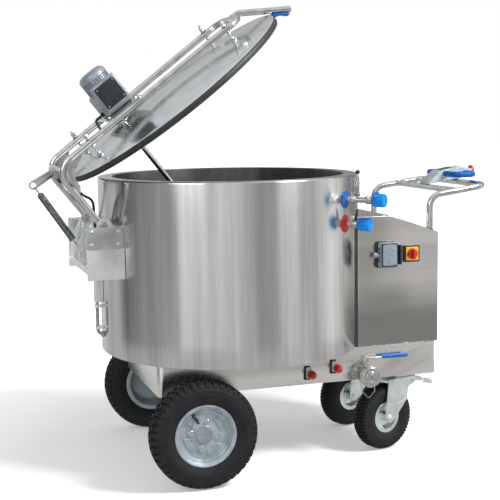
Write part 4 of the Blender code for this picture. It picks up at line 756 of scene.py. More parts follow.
def lay_floor():
    """Plain floor: white to the camera where lit, and keeping the cart's shadow."""
    let_go()
    bpy.ops.mesh.primitive_circle_add(vertices=96, radius=40, fill_type="NGON", location=(0, 0, -0.0005))
    floor = settle(bpy.context.object)
    floor.name = "studio_floor"
    floor.visible_glossy = False
    material = bpy.data.materials.new("white_studio_floor")
    material.use_nodes = True
    tree = material.node_tree
    tree.nodes.clear()
    place = add(tree, "ShaderNodeTexCoord").outputs["Object"]
    dust = add(tree, "ShaderNodeTexNoise", {}, {"Vector": place, "Scale": 3.0, "Detail": 2.0})
    tone = add(
        tree, "ShaderNodeMix", {"data_type": "RGBA"},
        {"Factor": dust.outputs["Fac"], 6: shade("#F0F0F0"), 7: shade("#F5F5F5")}
    )
    matt = add(tree, "ShaderNodeBsdfDiffuse", {}, {"Color": tone.outputs[2]})
    reach = add(tree, "ShaderNodeVectorMath", {"operation": "LENGTH"}, {0: place}).outputs["Value"]
    far = add(
        tree, "ShaderNodeMapRange", {},
        {"Value": reach, "From Min": 0.9, "From Max": 3.2, "To Min": 0.3, "To Max": 1.0}
    )
    glow = add(tree, "ShaderNodeEmission", {}, {"Color": (1, 1, 1, 1), "Strength": far.outputs["Result"]})
    lifted = add(tree, "ShaderNodeAddShader", {}, {0: matt.outputs[0], 1: glow.outputs[0]})
    path = add(tree, "ShaderNodeLightPath").outputs
    both = add(
        tree, "ShaderNodeMixShader", {},
        {0: path["Is Camera Ray"], 1: matt.outputs[0], 2: lifted.outputs[0]}
    )
    add(tree, "ShaderNodeOutputMaterial", {}, {"Surface": both.outputs[0]})
    floor.data.materials.append(material)


# Tank
def dress_tank():
    """Jacket with rolled rim, inner vessel and insulation."""
    axis = around(TANK_X, 0)
    top = TANK_RIM_Z
    r = TANK_R
    hole = 0.0215
    foot = TANK_FLOOR_Z
    outside = [(hole, foot), (r - 0.004, foot), (r - 0.0012, foot + 0.0012), (r, foot + 0.004)]
    outside += [(r, foot + 0.09), (r, 0.62), (r, 0.78), (r, 0.94), (r, top - 0.0065)]
    outside += arc_points((r - 0.006, top - 0.006), 0.006, (15, 30, 45, 60, 75, 90))
    outside += [(VESSEL_R + GAP, top), (VESSEL_R + GAP, top - 0.002), (r - 0.006, top - 0.002)]
    outside += [(r - 0.002, top - 0.006), (r - 0.002, foot + 0.002), (hole, foot + 0.002)]
    wall = turned(outside, axis, 192, ring=True)
    done("tank_wall", wall, WALL, "cart", "tank_jacket", angle=30)

    corner = VESSEL_R - 0.06
    height = VESSEL_FLOOR_Z + 0.08
    wet = [(VESSEL_R - 0.0015, top), (VESSEL_R - 0.002, top - 0.003)]
    dry = [(VESSEL_R, top)]
    for k in range(10):
        a = radians(10 * k)
        wet.append((corner + 0.058 * cos(a), height - 0.058 * sin(a)))
        dry.append((corner + 0.06 * cos(a), height - 0.06 * sin(a)))
    wet.append((0.0185, VESSEL_FLOOR_Z + 0.002))
    dry.append((0.0185, VESSEL_FLOOR_Z))
    done(
        "tank_inside", turned(wet + dry[::-1], axis, 160, ring=True), INSIDE, "cart", "tank_vessel",
        angle=40
    )
    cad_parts["tank_insulation"].data.materials[0] = FOAM


# Chassis
def dress_chassis():
    """Folded tray with its beams and the castor plates."""
    left, right = TANK_X + TRAY_LEFT, TANK_X + TRAY_RIGHT
    half, low, high = -FRONT_Y, TRAY_Z, 0.4337
    t = 0.003

    def outline(inset):
        start, end, wide = left + inset, right - inset, half - inset
        return flat_arcs([(start, -wide), (end, -wide), (end, wide), (start, wide)], 0.022 - inset, 8)

    shell = plate(outline(0), low, high, "XY")
    inside = plate(outline(t), low - 0.01, high - t, "XY")
    sump = bar(at(0, 0, 0.42), at(0, 0, 0.45), 0.0215, 32)
    outlet = bar(OUTLET - Vector((0, 0.02, 0)), OUTLET + Vector((0, 0.02, 0)), 0.0215, 32)
    tray = softened(cut(shell, inside, sump, outlet), 0.0012, 2, 40)
    beams = []
    for x, width in ((DRIVE_X, 0.12), (CASTOR_X, 0.15)):
        a, b = TANK_X + x - width / 2, TANK_X + x + width / 2
        w = 0.004
        line = [(a, low), (b, low), (b, high - t), (b - w, high - t), (b - w, low + w)]
        line += [(a + w, low + w), (a + w, high - t), (a, high - t)]
        beam = plate(line, -half + t, half - t, "XZ")
        hole = bar(at(x, 0, low - 0.01), at(x, 0, low + 0.01), 0.03, 40)
        beams.append(softened(cut(beam, hole), 0.001, 2, 40))
    tray = joined(tray, *beams)
    done("folded_tray", tray, TRAY_SHEET, "cart", "chassis_tray")

    for side, label in SIDES:
        x, y, z = TANK_X + CASTOR_X, side * CASTOR_HALF_Y, low - 0.005
        seat = plate(box_outline(x, y, 0.0675, 0.055, 0.01), z, low, "XY")
        turned_over = Matrix.Rotation(pi, 4, "X")
        spots = [around(x + a * 0.052, y + b * 0.042, z) @ turned_over for a, b in CORNERS]
        bolts = [hex_bolt(spot, 0.007, 0.0045) for spot in spots]
        done("castor_plate_" + label, joined(softened(seat, 0.001), *bolts), ZINC, "cart", "chassis_tray")


def dress_drive_axle():
    """Axle tube with gear case, drive motor and brackets."""
    z = DRIVE_Z
    centre = at(DRIVE_X, 0, z)
    shoulder = Vector((0, 0.3895, 0))
    tube_piece = bar(centre - shoulder, centre + shoulder, 0.03, 32, 0.002)
    stub = bar(centre - Vector((0, 0.431, 0)), centre + Vector((0, 0.431, 0)), 0.0125, 24)
    half = 0.052
    across = facing((0, 1, 0), centre)
    along = facing((1, 0, 0), centre)
    drum = [
        (0.05, -half), (0.06, -half), (0.066, -half + 0.006), (0.066, half - 0.006), (0.06, half),
        (0.05, half)
    ]
    case = turned(drum, across, 48)
    ribs = [turned([(0.03, s * half), (0.036, s * (half + 0.01))], across, 32) for s in (-1, 1)]
    motor = [
        (0.046, 0.02), (0.048, 0.024), (0.048, 0.09), (0.0465, 0.092), (0.048, 0.094), (0.048, 0.218),
        (0.044, 0.23)
    ]
    motor_piece = turned(motor, along, 40)
    starts = [0.11 + 0.014 * k for k in range(7)]
    fins = [turned([(0.0472, h), (0.048, h + 0.001), (0.0472, h + 0.004)], along, 40) for h in starts]
    brackets = []
    for side in (-1, 1):
        y = side * 0.2
        line = [
            (centre.x - 0.045, 0.303), (centre.x + 0.045, 0.303), (centre.x + 0.026, z),
            (centre.x - 0.026, z)
        ]
        brackets.append(softened(plate(line, y - 0.004, y + 0.004), 0.001))
        foot = 0.2987
        brackets.append(
            block((centre.x - 0.05, y - 0.025, foot), (centre.x + 0.05, y + 0.025, 0.3047), 0.0015)
        )
        for a, b in CORNERS:
            place = around(centre.x + a * 0.038, y + b * 0.016, foot) @ Matrix.Rotation(pi, 4, "X")
            brackets.append(hex_bolt(place, 0.006, 0.004))
    case_bolts = []
    for side in (-1, 1):
        face = facing((0, side, 0), centre + Vector((0, side * half, 0)))
        for k in range(6):
            case_bolts.append(hex_bolt(face @ round_at(0.05, k * pi / 3), 0.0045, 0.003, False))
    whole = joined(tube_piece, stub, case, *ribs, motor_piece, *fins, *brackets, *case_bolts)
    done("axle_and_gear_case", whole, BLACK_PAINT, "cart", "drive_axle")


# Wheels
FIRST_BOLT = radians(-13)


def tyre_piece(radius, width, bead_r, bead_half, lug_h, pitches, rows):
    """Tyre about local Z: a bulged ring, then tread blocks laid round it."""
    half = width / 2
    base = radius - lug_h
    side = [
        (bead_r - 0.004, bead_half - 0.004), (bead_r, bead_half - 0.0005),
        (bead_r + 0.003, bead_half + 0.001)
    ]
    side += [(bead_r + 0.006, bead_half + 0.0018), (bead_r + 0.0075, bead_half + 0.0008)]
    span = base - bead_r
    bulge = [
        (0.22, 0.84), (0.36, 0.95), (0.5, 1.0), (0.62, 0.995), (0.635, 0.985), (0.66, 0.985), (0.675, 0.99)
    ]
    bulge += [(0.8, 0.94), (0.9, 0.86), (0.965, 0.76), (0.99, 0.64), (1.0, 0.45), (1.0, 0.15)]
    side += [(bead_r + span * share, half * out) for share, out in bulge]
    profile = side + [(r, -y) for r, y in reversed(side)]
    body = turned(profile, Matrix(), 120, ring=True)
    blocks = []
    turn = 2 * pi / pitches
    for outline, droop, offset, flip in rows:
        if flip:
            outline = [(a, -b) for a, b in outline]
        lug = plate(outline, base - 0.003, radius, "XY")
        for point in lug.data.vertices:
            edge = abs(point.co.y) / half
            if point.co.z > base:
                point.co.z -= droop * max(0.0, edge - 0.45) ** 1.6
            else:
                point.co.z -= droop * 1.6 * max(0.0, edge - 0.45) ** 1.4
        lug = softened(lug, 0.001, 1, 40)
        stand = Matrix(((1, 0, 0, 0), (0, 0, -1, 0), (0, 1, 0, 0), (0, 0, 0, 1)))
        places = [Matrix.Rotation(turn * (k + offset), 4, "Z") @ stand for k in range(pitches)]
        blocks.append(repeated(lug, places))
    return joined(body, *blocks)


def raised_panel(outline, face):
    """Pressed panel that stands 2.6 mm proud of a disc, with sloping sides."""
    panel = plate(outline, face, face + 0.0026, "XY")
    pick(panel)
    bpy.ops.object.mode_set(mode="EDIT")
    bpy.ops.mesh.select_all(action="DESELECT")
    bpy.ops.object.mode_set(mode="OBJECT")
    for side in panel.data.polygons:
        side.select = side.normal.z > 0.9
    bpy.ops.object.mode_set(mode="EDIT")
    bpy.ops.mesh.inset(thickness=0.0024)
    bpy.ops.transform.translate(value=(0, 0, 0.0012))
    bpy.ops.object.mode_set(mode="OBJECT")
    return softened(panel, 0.0009, 2, 20)


def drive_rim():
    """Pressed rim and disc about local Z, facing outwards: painted, with raised ribs and a hub cap."""
    seat, flange, half, t, disc = 0.1016, 0.114, 0.04, 0.0035, 0.012
    line = [(0.0128, disc), (0.0128, -0.03), (0.03, -0.03), (0.03, disc - 0.001), (0.08, disc - 0.001)]
    line += [
        (0.0835, -0.01), (0.086, -0.016), (seat - t, -half), (flange - 0.002, -half),
        (flange, -half + 0.001)
    ]
    line += [
        (flange, -half + t), (seat + 0.001, -half + t + 0.002), (seat, -half + 0.007), (seat, half - 0.007)
    ]
    line += [(seat + 0.001, half - t - 0.002), (flange - 0.001, half - t), (flange, half - t + 0.001)]
    line += [(flange - 0.0006, half - 0.0006), (flange - 0.003, half), (flange - 0.006, half - 0.0012)]
    line += [(seat - t + 0.002, half - 0.006), (seat - t, half - 0.012), (0.0935, 0.023), (0.0915, 0.0205)]
    line += [(0.0895, 0.0165)]
    line += [(0.086, disc + t + 0.0012), (0.082, disc + t), (0.036, disc + t), (0.032, disc + t + 0.0018)]
    rim = turned(line, Matrix(), 96, ring=True)
    collar = [(0.034, disc), (0.034, disc + 0.005), (0.0325, disc + 0.006), (0.031, disc + 0.003)]
    hub = turned(collar, Matrix(), 64, ring=True)
    ribs = []
    face = disc + t - 0.001
    for k in range(4):
        middle = FIRST_BOLT + radians(45 + 90 * k)
        outer = [
            (0.079 * cos(middle + radians(a)), 0.079 * sin(middle + radians(a)))
            for a in range(-27, 28, 3)
        ]
        inner = [
            (0.057 * cos(middle + radians(a)), 0.057 * sin(middle + radians(a)))
            for a in range(22, -23, -4)
        ]
        ribs.append(raised_panel(outer + inner, face))
    return joined(rim, hub, *ribs)


def dress_drive_wheels():
    """Two driven wheels: tyre, rim, cap, bolts and valve."""
    z = DRIVE_Z
    rows = []
    shoulder = [(-0.0122, 0.0245), (0.008, 0.0225), (0.0118, 0.04), (0.011, 0.0465)]
    shoulder += [(-0.008, 0.0465), (-0.009, 0.041)]
    middle = [(-0.0118, 0.003), (0.0068, 0.003), (0.0126, 0.0195), (-0.0062, 0.0212)]
    for flip, offset in ((False, 0.0), (True, 0.5)):
        rows.append((shoulder, 0.034, offset, flip))
        rows.append((middle, 0.0, offset + 0.22, flip))
    tyre = tyre_piece(z - 0.0002, 0.1, 0.1055, 0.0365, 0.0072, 45, rows)
    rim = drive_rim()
    for side, label in SIDES:
        body = "drive_wheel_" + label
        place = facing((0, side, 0), at(DRIVE_X, side * DRIVE_HALF_Y, z))
        done("lugged_tyre_" + label, copied(tyre, place), RUBBER, body, "drive_tyre_" + label)
        done("painted_rim_" + label, copied(rim, place), RIM_PAINT, body, "drive_rim_" + label)
        turns = [FIRST_BOLT + radians(90 * k) for k in range(4)]
        bolts = joined(*[hex_bolt(place @ round_at(0.05, a, 0.0155), 0.0098, 0.0072) for a in turns])
        cap = [(0.0312, 0.013), (0.0312, 0.018), (0.0302, 0.019), (0.003, 0.0194), (0.0024, 0.0204)]
        done("hub_cap_" + label, turned(cap, place, 64), HUB_PAINT, body, "drive_rim_" + label)
        done("wheel_bolts_" + label, bolts, BOLT, body, "drive_rim_" + label)
        stem = [(0.007, 0), (0.0066, 0.01), (0.0058, 0.014), (0.0056, 0.024), (0.0062, 0.025)]
        stem += [(0.0062, 0.036), (0.0048, 0.039)]
        a = radians(118)
        root = place @ round_at(0.086, a, 0.013) @ Matrix.Rotation(a, 4, "Z")
        root = root @ Matrix.Rotation(radians(-52), 4, "Y")
        done("valve_stem_" + label, turned(stem, root, 20), BLACK_PLASTIC, body, "drive_rim_" + label)
    bpy.data.objects.remove(tyre)
    bpy.data.objects.remove(rim)


def castor_rim():
    """Pressed zinc-plated castor rim about local Z, dished, with a hub."""
    line = [(0.0066, 0.043), (0.015, 0.043), (0.017, 0.0415), (0.0175, 0.012), (0.021, 0.0075)]
    line += [(0.03, 0.006), (0.038, 0.0075), (0.0425, 0.013), (0.0455, 0.024), (0.0475, 0.0285)]
    line += [
        (0.059, 0.0295), (0.0612, 0.03), (0.062, 0.0292), (0.0612, 0.0275), (0.051, 0.0265),
        (0.05, 0.024)
    ]
    profile = line + [(r, -h) for r, h in reversed(line)]
    return turned(profile, Matrix(), 64, ring=True)


def dress_castors():
    """Two swivel castors with brake pedals."""
    z = CASTOR_Z
    lug = [(-0.0052, 0.0025), (0.0036, 0.0025), (0.0054, 0.018), (0.0052, 0.033), (0.004, 0.0352)]
    lug += [(-0.0036, 0.0352), (-0.0046, 0.033), (-0.0042, 0.018)]
    rows = [(lug, 0.03, offset, flip) for flip, offset in ((False, 0.0), (True, 0.5))]
    tyre = tyre_piece(z - 0.0002, 0.075, 0.0535, 0.0268, 0.0058, 54, rows)
    rim = castor_rim()
    for side, label in SIDES:
        place = around(*at(CASTOR_X, side * CASTOR_HALF_Y, 0)) @ Matrix.Rotation(SWIVEL, 4, "Z")
        wheel = place @ facing(FRONT, (-CASTOR_TRAIL, 0, z))
        done(
            "castor_tread_" + label, copied(tyre, wheel), RUBBER, "castor_wheel_" + label,
            "castor_tyre_" + label
        )
        done("castor_disc_" + label, copied(rim, wheel), ZINC, "castor_wheel_" + label, "castor_rim_" + label)
        done(
            "swivel_fork_" + label, settle(swivel_fork(z), place), ZINC, "castor_" + label,
            "castor_fork_" + label
        )
        done(
            "brake_pedal_" + label, settle(brake_pedal(), place), ZINC, "pedal_" + label,
            "castor_pedal_" + label
        )
    bpy.data.objects.remove(tyre)
    bpy.data.objects.remove(rim)


def swivel_fork(z):
    """Pressed fork: swivel race, crown, and two legs that narrow to the axle."""
    inner, outer, crown = 0.0435, 0.0475, 0.278
    leg = [
        (-0.092, crown + 0.005), (0.05, crown + 0.005), (0.048, 0.257), (0.03, 0.251), (0.012, 0.243),
        (0.003, 0.192)
    ]
    leg += [
        (-0.034, 0.15), (-0.066, z - 0.012), (-0.078, z - 0.02), (-0.096, z - 0.018), (-0.108, z + 0.004),
        (-0.103, 0.19)
    ]
    parts = []
    for side in (-1, 1):
        low, high = sorted((side * inner, side * outer))
        parts.append(softened(plate(flat_arcs(leg, 0.007, 4), low, high), 0.0014, 3, 40))
        for x, height, reach in ((-CASTOR_TRAIL, z, 0.0115), (0.035, crown - 0.014, 0.0055)):
            nut_place = facing((0, side, 0), (x, side * outer, height))
            parts.append(hex_bolt(nut_place, reach, 0.0042))
        rib_y = side * (outer - 0.001)
        parts.append(
            tube(
                [(-0.098, rib_y, 0.186), (-0.05, rib_y, 0.18), (0.002, rib_y, 0.194)], 0.0026, 0.03,
                sides=3
            )
        )
    bridge = plate(box_outline(-0.0195, 0, 0.0745, outer, 0.014), crown - 0.001, crown + 0.006, "XY")
    parts.append(softened(bridge, 0.003, 4, 40))
    parts.append(bar((-CASTOR_TRAIL, -outer, z), (-CASTOR_TRAIL, outer, z), 0.006, 20))
    race = [(0.036, crown + 0.004), (0.0385, crown + 0.005), (0.042, crown + 0.008), (0.042, crown + 0.012)]
    race += [
        (0.0405, crown + 0.0125), (0.0405, crown + 0.0145), (0.042, crown + 0.015), (0.042, crown + 0.019),
        (0.04, 0.2997)
    ]
    parts.append(turned(race, Matrix(), 64))
    return joined(*parts)


def brake_pedal():
    """Pressed brake pedal with a ribbed toe plate."""
    z = 0.264
    tread = [(0.03, z + 0.003), (0.06, z + 0.006), (0.11, z - 0.002), (0.165, z - 0.02)]
    tread += [(0.165, z - 0.0235), (0.108, z - 0.006), (0.055, z), (0.03, z - 0.006)]
    parts = [softened(plate(tread, -0.014, 0.014), 0.001, 2, 50)]
    parts.append(bar((0.035, -0.0432, z), (0.035, 0.0432, z), 0.007, 20))
    toe = flat_arcs([(0.112, -0.03), (0.165, -0.026), (0.165, 0.026), (0.112, 0.03)], 0.006, 4)
    toe = softened(plate(toe, z - 0.0165, z - 0.0135, "XY"), 0.0008)
    ribs = []
    for k in range(5):
        start, end = 0.118 + 0.01 * k, 0.1215 + 0.01 * k
        ribs.append(block((start, -0.024, z - 0.014), (end, 0.024, z - 0.0122), 0.0006, 1))
    skirts = []
    for y in (-0.027, 0.027):
        skirts.append(block((0.114, y - 0.0012, z - 0.03), (0.163, y + 0.0012, z - 0.015), 0.0008, 2))
    lean = around(0.138, 0, z - 0.015) @ Matrix.Rotation(radians(14), 4, "Y") @ around(-0.138, 0, 0.015 - z)
    parts.append(settle(joined(toe, *ribs, *skirts), lean))
    return joined(*parts)


# Milk line
def dress_milk_line():
    """Outlet valve, pipe, cap and lever."""
    out = facing(FRONT, (OUTLET.x, FRONT_Y - GAP, OUTLET.z))
    body = [
        (0.019, 0.0), (0.0335, 0.0), (0.034, 0.0006), (0.034, 0.0045), (0.033, 0.0055),
        (0.024, 0.0085), (0.0235, 0.012)
    ]
    body += [
        (0.0295, 0.013), (0.03, 0.014), (0.03, 0.033), (0.029, 0.0345), (0.024, 0.036),
        (0.024, 0.038), (0.029, 0.0395), (0.03, 0.0405), (0.03, 0.0455), (0.019, 0.0455)
    ]
    parts = [turned(body, out, 64, ring=True)]
    nut = turned([(0.0322, 0.0165), (0.0338, 0.018), (0.0338, 0.03), (0.0322, 0.0315)], Matrix(), 8)
    parts.append(settle(softened(nut, 0.0008, 2, 20), out))
    for k in range(4):
        a = radians(45 + 90 * k)
        parts.append(hex_bolt(out @ round_at(0.0292, a, 0.0052), 0.004, 0.003, False))
    clamp = turned(
        [(0.032, 0.001), (0.036, 0.002), (0.0372, 0.005), (0.036, 0.008), (0.03, 0.0092)],
        Matrix(), 48
    )
    lugs = []
    for s in (-1, 1):
        end = s * 0.0345 + 0.01 * (1 + s) / 2 + 0.006 - 0.004 * (1 - s)
        lugs.append(block((s * 0.0345 - 0.006, -0.0075, 0.001), (end, 0.0075, 0.009), 0.0015, 2))
    bolt = bar((-0.04, -0.012, 0.005), (-0.04, 0.018, 0.005), 0.003, 16, 0.0004)
    wing = [
        (-0.049, 0.012), (-0.031, 0.012), (-0.028, 0.024), (-0.036, 0.018), (-0.044, 0.018), (-0.052, 0.024)
    ]
    wing = softened(plate(flat_arcs(wing, 0.002, 3), 0.003, 0.007, "XY"), 0.0008, 2)
    parts.append(settle(joined(clamp, *lugs, bolt, wing), out))
    stem_y = FRONT_Y - 0.024
    x = OUTLET.x
    parts.append(bar((x, stem_y, 0.35), (x, stem_y, 0.364), 0.01, 32, 0.001))
    parts.append(bar((x, stem_y, 0.36), (x, stem_y, 0.392), 0.005, 20, 0.0005))
    parts.append(
        turned([(0.0078, 0.366), (0.0084, 0.367), (0.0084, 0.372), (0.0078, 0.373)], around(x, stem_y), 6)
    )
    port = at(0.245, -0.0553, 0.365)
    run = [port, at(0.245, -0.165, 0.355), at(0.46, -0.165, 0.324), OUTLET - Vector((0, 0.006, 0))]
    parts.append(tube(run, 0.0205, 0.04, sides=7))
    done("ball_valve_and_pipe", joined(*parts), FORGED, "cart", "outlet_valve")

    cap = turned(
        [
            (0.0305, 0.0), (0.039, 0.0), (0.04, 0.001), (0.04, 0.0205), (0.0392, 0.0225),
            (0.037, 0.024), (0.03, 0.0246), (0.0235, 0.0246), (0.022, 0.026), (0.004, 0.0262),
            (0.004, 0.0081), (0.0305, 0.008)
        ],
        Matrix(), 96, ring=True
    )
    bites = []
    for k in range(6):
        notch = block((-0.005, -0.005, -0.01), (0.005, 0.005, 0.05), 0.0014, 2)
        bites.append(settle(notch, round_at(0.0415, k * pi / 3) @ Matrix.Rotation(k * pi / 3, 4, "Z")))
    cap = softened(cut(cap, *bites), 0.0007, 2, 40)
    knob = turned([(0.006, 0.024), (0.006, 0.03), (0.0045, 0.0335), (0.0025, 0.034)], Matrix(), 24)
    ring = bead((0, 0, 0.0268), (0, 0, 1), 0.015, 0.0008)
    on_valve = out @ around(0, 0, OUTLET_CAP_SEAT)
    done("screw_cap", settle(joined(cap, knob, ring), on_valve), FORGED, "outlet_cap", "outlet_cap")
    hang_chain()

    hub_z = 0.3923
    lever = softened(
        plate([(x, -0.007), (x + 0.16, -0.006), (x + 0.16, 0.006), (x, 0.007)], hub_z, hub_z + 0.003, "XY"),
        0.0007
    )
    boss = turned([(0.009, hub_z), (0.009, hub_z + 0.0065), (0.008, hub_z + 0.008)], around(x, 0), 6)
    steel = settle(joined(lever, boss), around(0, stem_y))
    done("valve_lever_bar", steel, FORGED, "valve_lever", "valve_lever")
    grip = block(
        (x + 0.06, stem_y - 0.011, hub_z - 0.005), (x + 0.166, stem_y + 0.011, hub_z + 0.008), 0.0045, 5
    )
    collar = block(
        (x + 0.058, stem_y - 0.0088, hub_z - 0.003), (x + 0.066, stem_y + 0.0088, hub_z + 0.006), 0.002, 3
    )
    dips = []
    for k in range(5):
        near, far = x + 0.076 + 0.018 * k, x + 0.0775 + 0.018 * k
        dips.append(
            block((near, stem_y - 0.0113, hub_z - 0.0053), (far, stem_y + 0.0113, hub_z + 0.0083), 0.0006, 1)
        )
    done("valve_lever_grip", joined(cut(grip, *dips), collar), GRIP_BLUE, "valve_lever", "valve_lever")
    for name, finish in (("milk_pump", MOTOR_PAINT), ("suction_pipe", FORGED)):
        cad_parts[name].data.materials[0] = finish


def hang_chain():
    """Small link chain from the valve down and up to the cap."""
    x, y, z = OUTLET.x, FRONT_Y, OUTLET.z
    cap_y = y - OUTLET_CAP_SEAT
    line = [
        (x - 0.015, y - 0.0103, z - 0.0215), (x - 0.024, y - 0.0103, z - 0.036),
        (x - 0.016, y - 0.014, z - 0.066)
    ]
    line += [
        (x, y - 0.034, z - 0.0885), (x + 0.01, cap_y - 0.031, z - 0.05), (x, cap_y - 0.0322, z - 0.0045)
    ]
    points = arcs(line, 0.012, steps=6)
    gaps = [(b - a).length for a, b in zip(points, points[1:])]
    total = sum(gaps)
    link_len = 0.0052
    count = int(total / (link_len * 0.72))
    round_end = [(a, b, 0) for a, b in arc_points((0, 0.0011), 0.0017, range(0, 181, 45))]
    path = round_end + [(-p, -q, 0) for p, q, _ in round_end]
    link = settle(tube(path, 0.00045, closed=True, sides=0), Matrix.Rotation(pi / 2, 4, "X"))
    places = []
    for k in range(count):
        spot = total * (k + 0.5) / count
        i = 0
        while i < len(gaps) - 1 and spot > gaps[i]:
            spot -= gaps[i]
            i += 1
        here = points[i].lerp(points[i + 1], spot / gaps[i])
        places.append(
            facing(points[i + 1] - points[i], here) @ Matrix.Rotation(radians(90 * (k % 2)), 4, "Z")
        )
    chain = repeated(link, places)
    chain.name = "link_chain"
    chain.data.materials.append(BOLT)
    pick(chain)
    bpy.ops.object.shade_smooth_by_angle(angle=radians(60))
    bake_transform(chain)
    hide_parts("cap_chain")


def dress_drains():
    """Two small drain cocks with red caps."""
    for (x, z), label in (((0.229, 0.346), "left"), ((0.335, 0.362), "right")):
        out = facing(FRONT, at(x, FRONT_Y - GAP, z))
        flange = softened(plate(box_outline(-0.01, 0.004, 0.013, 0.027, 0.004), 0, 0.0035, "XY"), 0.0008, 2)
        done("drain_flange_" + label, settle(flange, out), BLACK_PLASTIC, "cart", "drain_cock_" + label)
        body = softened(
            plate(box_outline(-0.005, 0.006, 0.011, 0.021, 0.005), 0.003, 0.011, "XY"), 0.0018, 3
        )
        neck = turned([(0.01, 0.01), (0.01, 0.015), (0.0125, 0.0158), (0.0125, 0.018)], Matrix(), 40)
        screws = [screw_head(around(-0.005, h, 0.0105), 0.003, 0.0016) for h in (0.021, -0.01)]
        done(
            "drain_body_" + label, settle(joined(body, neck, *screws), out), CREAM, "cart",
            "drain_cock_" + label
        )
        cap = turned(
            [
                (0.015, 0.017), (0.0166, 0.0184), (0.0164, 0.025), (0.015, 0.032), (0.0136, 0.04),
                (0.0112, 0.0455), (0.008, 0.0488), (0.0036, 0.05)
            ],
            out, 48
        )
        ribs = []
        for k in range(12):
            rib = block((0.0136, -0.001, 0.019), (0.0168, 0.001, 0.036), 0.0006, 1)
            ribs.append(settle(rib, out @ Matrix.Rotation(k * pi / 6, 4, "Z")))
        done("drain_cap_" + label, joined(cap, *ribs), CRIMSON, "cart", "drain_cock_" + label)


# Cabinet
def dress_cabinet():
    """Folded cabinet and the collars round the handle."""
    low = TANK_FLOOR_Z + GAP
    left, right, crease = TANK_X + CABINET_LEFT, TANK_X + CABINET_RIGHT, TANK_X + CABINET_CREASE
    top, end_z, half, t = CABINET_TOP_Z, CABINET_END_Z, -FRONT_Y, 0.002
    outside = plate([(left, low), (right, low), (right, end_z), (crease, top), (left, top)], -half, half)
    outside = softened(outside, 0.0025, 3, 8)
    hollow = [(left - 0.05, low - 0.02), (right - t, low - 0.02), (right - t, end_z - t * 1.5)]
    hollow += [(crease, top - t), (left - 0.05, top - t)]
    inside = plate(hollow, t - half, half - t)
    tank = bar(at(0, 0, low - 0.05), at(0, 0, TANK_RIM_Z), TANK_R + 0.002, 192)
    holes = []
    for y in (-HANDLE_HALF_Y, HANDLE_HALF_Y):
        holes.append(bar(at(HANDLE_X, y, end_z - 0.03), at(HANDLE_X, y, end_z + 0.07), TUBE_R + 0.0012, 32))
    seam = [
        block((right - 0.0006, -half + 0.012, end_z - 0.023), (right + 0.001, half - 0.012, end_z - 0.0218))
    ]
    shell = cut(outside, inside, tank, *holes, *seam)
    done("folded_cabinet", shell, CABINET_SHEET, "cart", "cabinet_shell", angle=30)
    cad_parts["cabinet_seal"].data.materials[0] = SEAL
    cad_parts["battery"].data.materials[0] = BLACK_PLASTIC
    slope = atan2(end_z - top, right - crease)
    z = top + (TANK_X + HANDLE_X - crease) * tan(slope)
    lip = [(TUBE_R + 0.0002, 0), (TUBE_R + 0.004, 0), (TUBE_R + 0.004, 0.0022), (TUBE_R + 0.0002, 0.003)]
    for side, label in SIDES:
        place = around(*at(HANDLE_X, side * HANDLE_HALF_Y, z)) @ Matrix.Rotation(-slope, 4, "Y")
        collar = turned(lip, Matrix(), 32, ring=True)
        done("handle_grommet_" + label, settle(collar, place), SEAL, "cart")


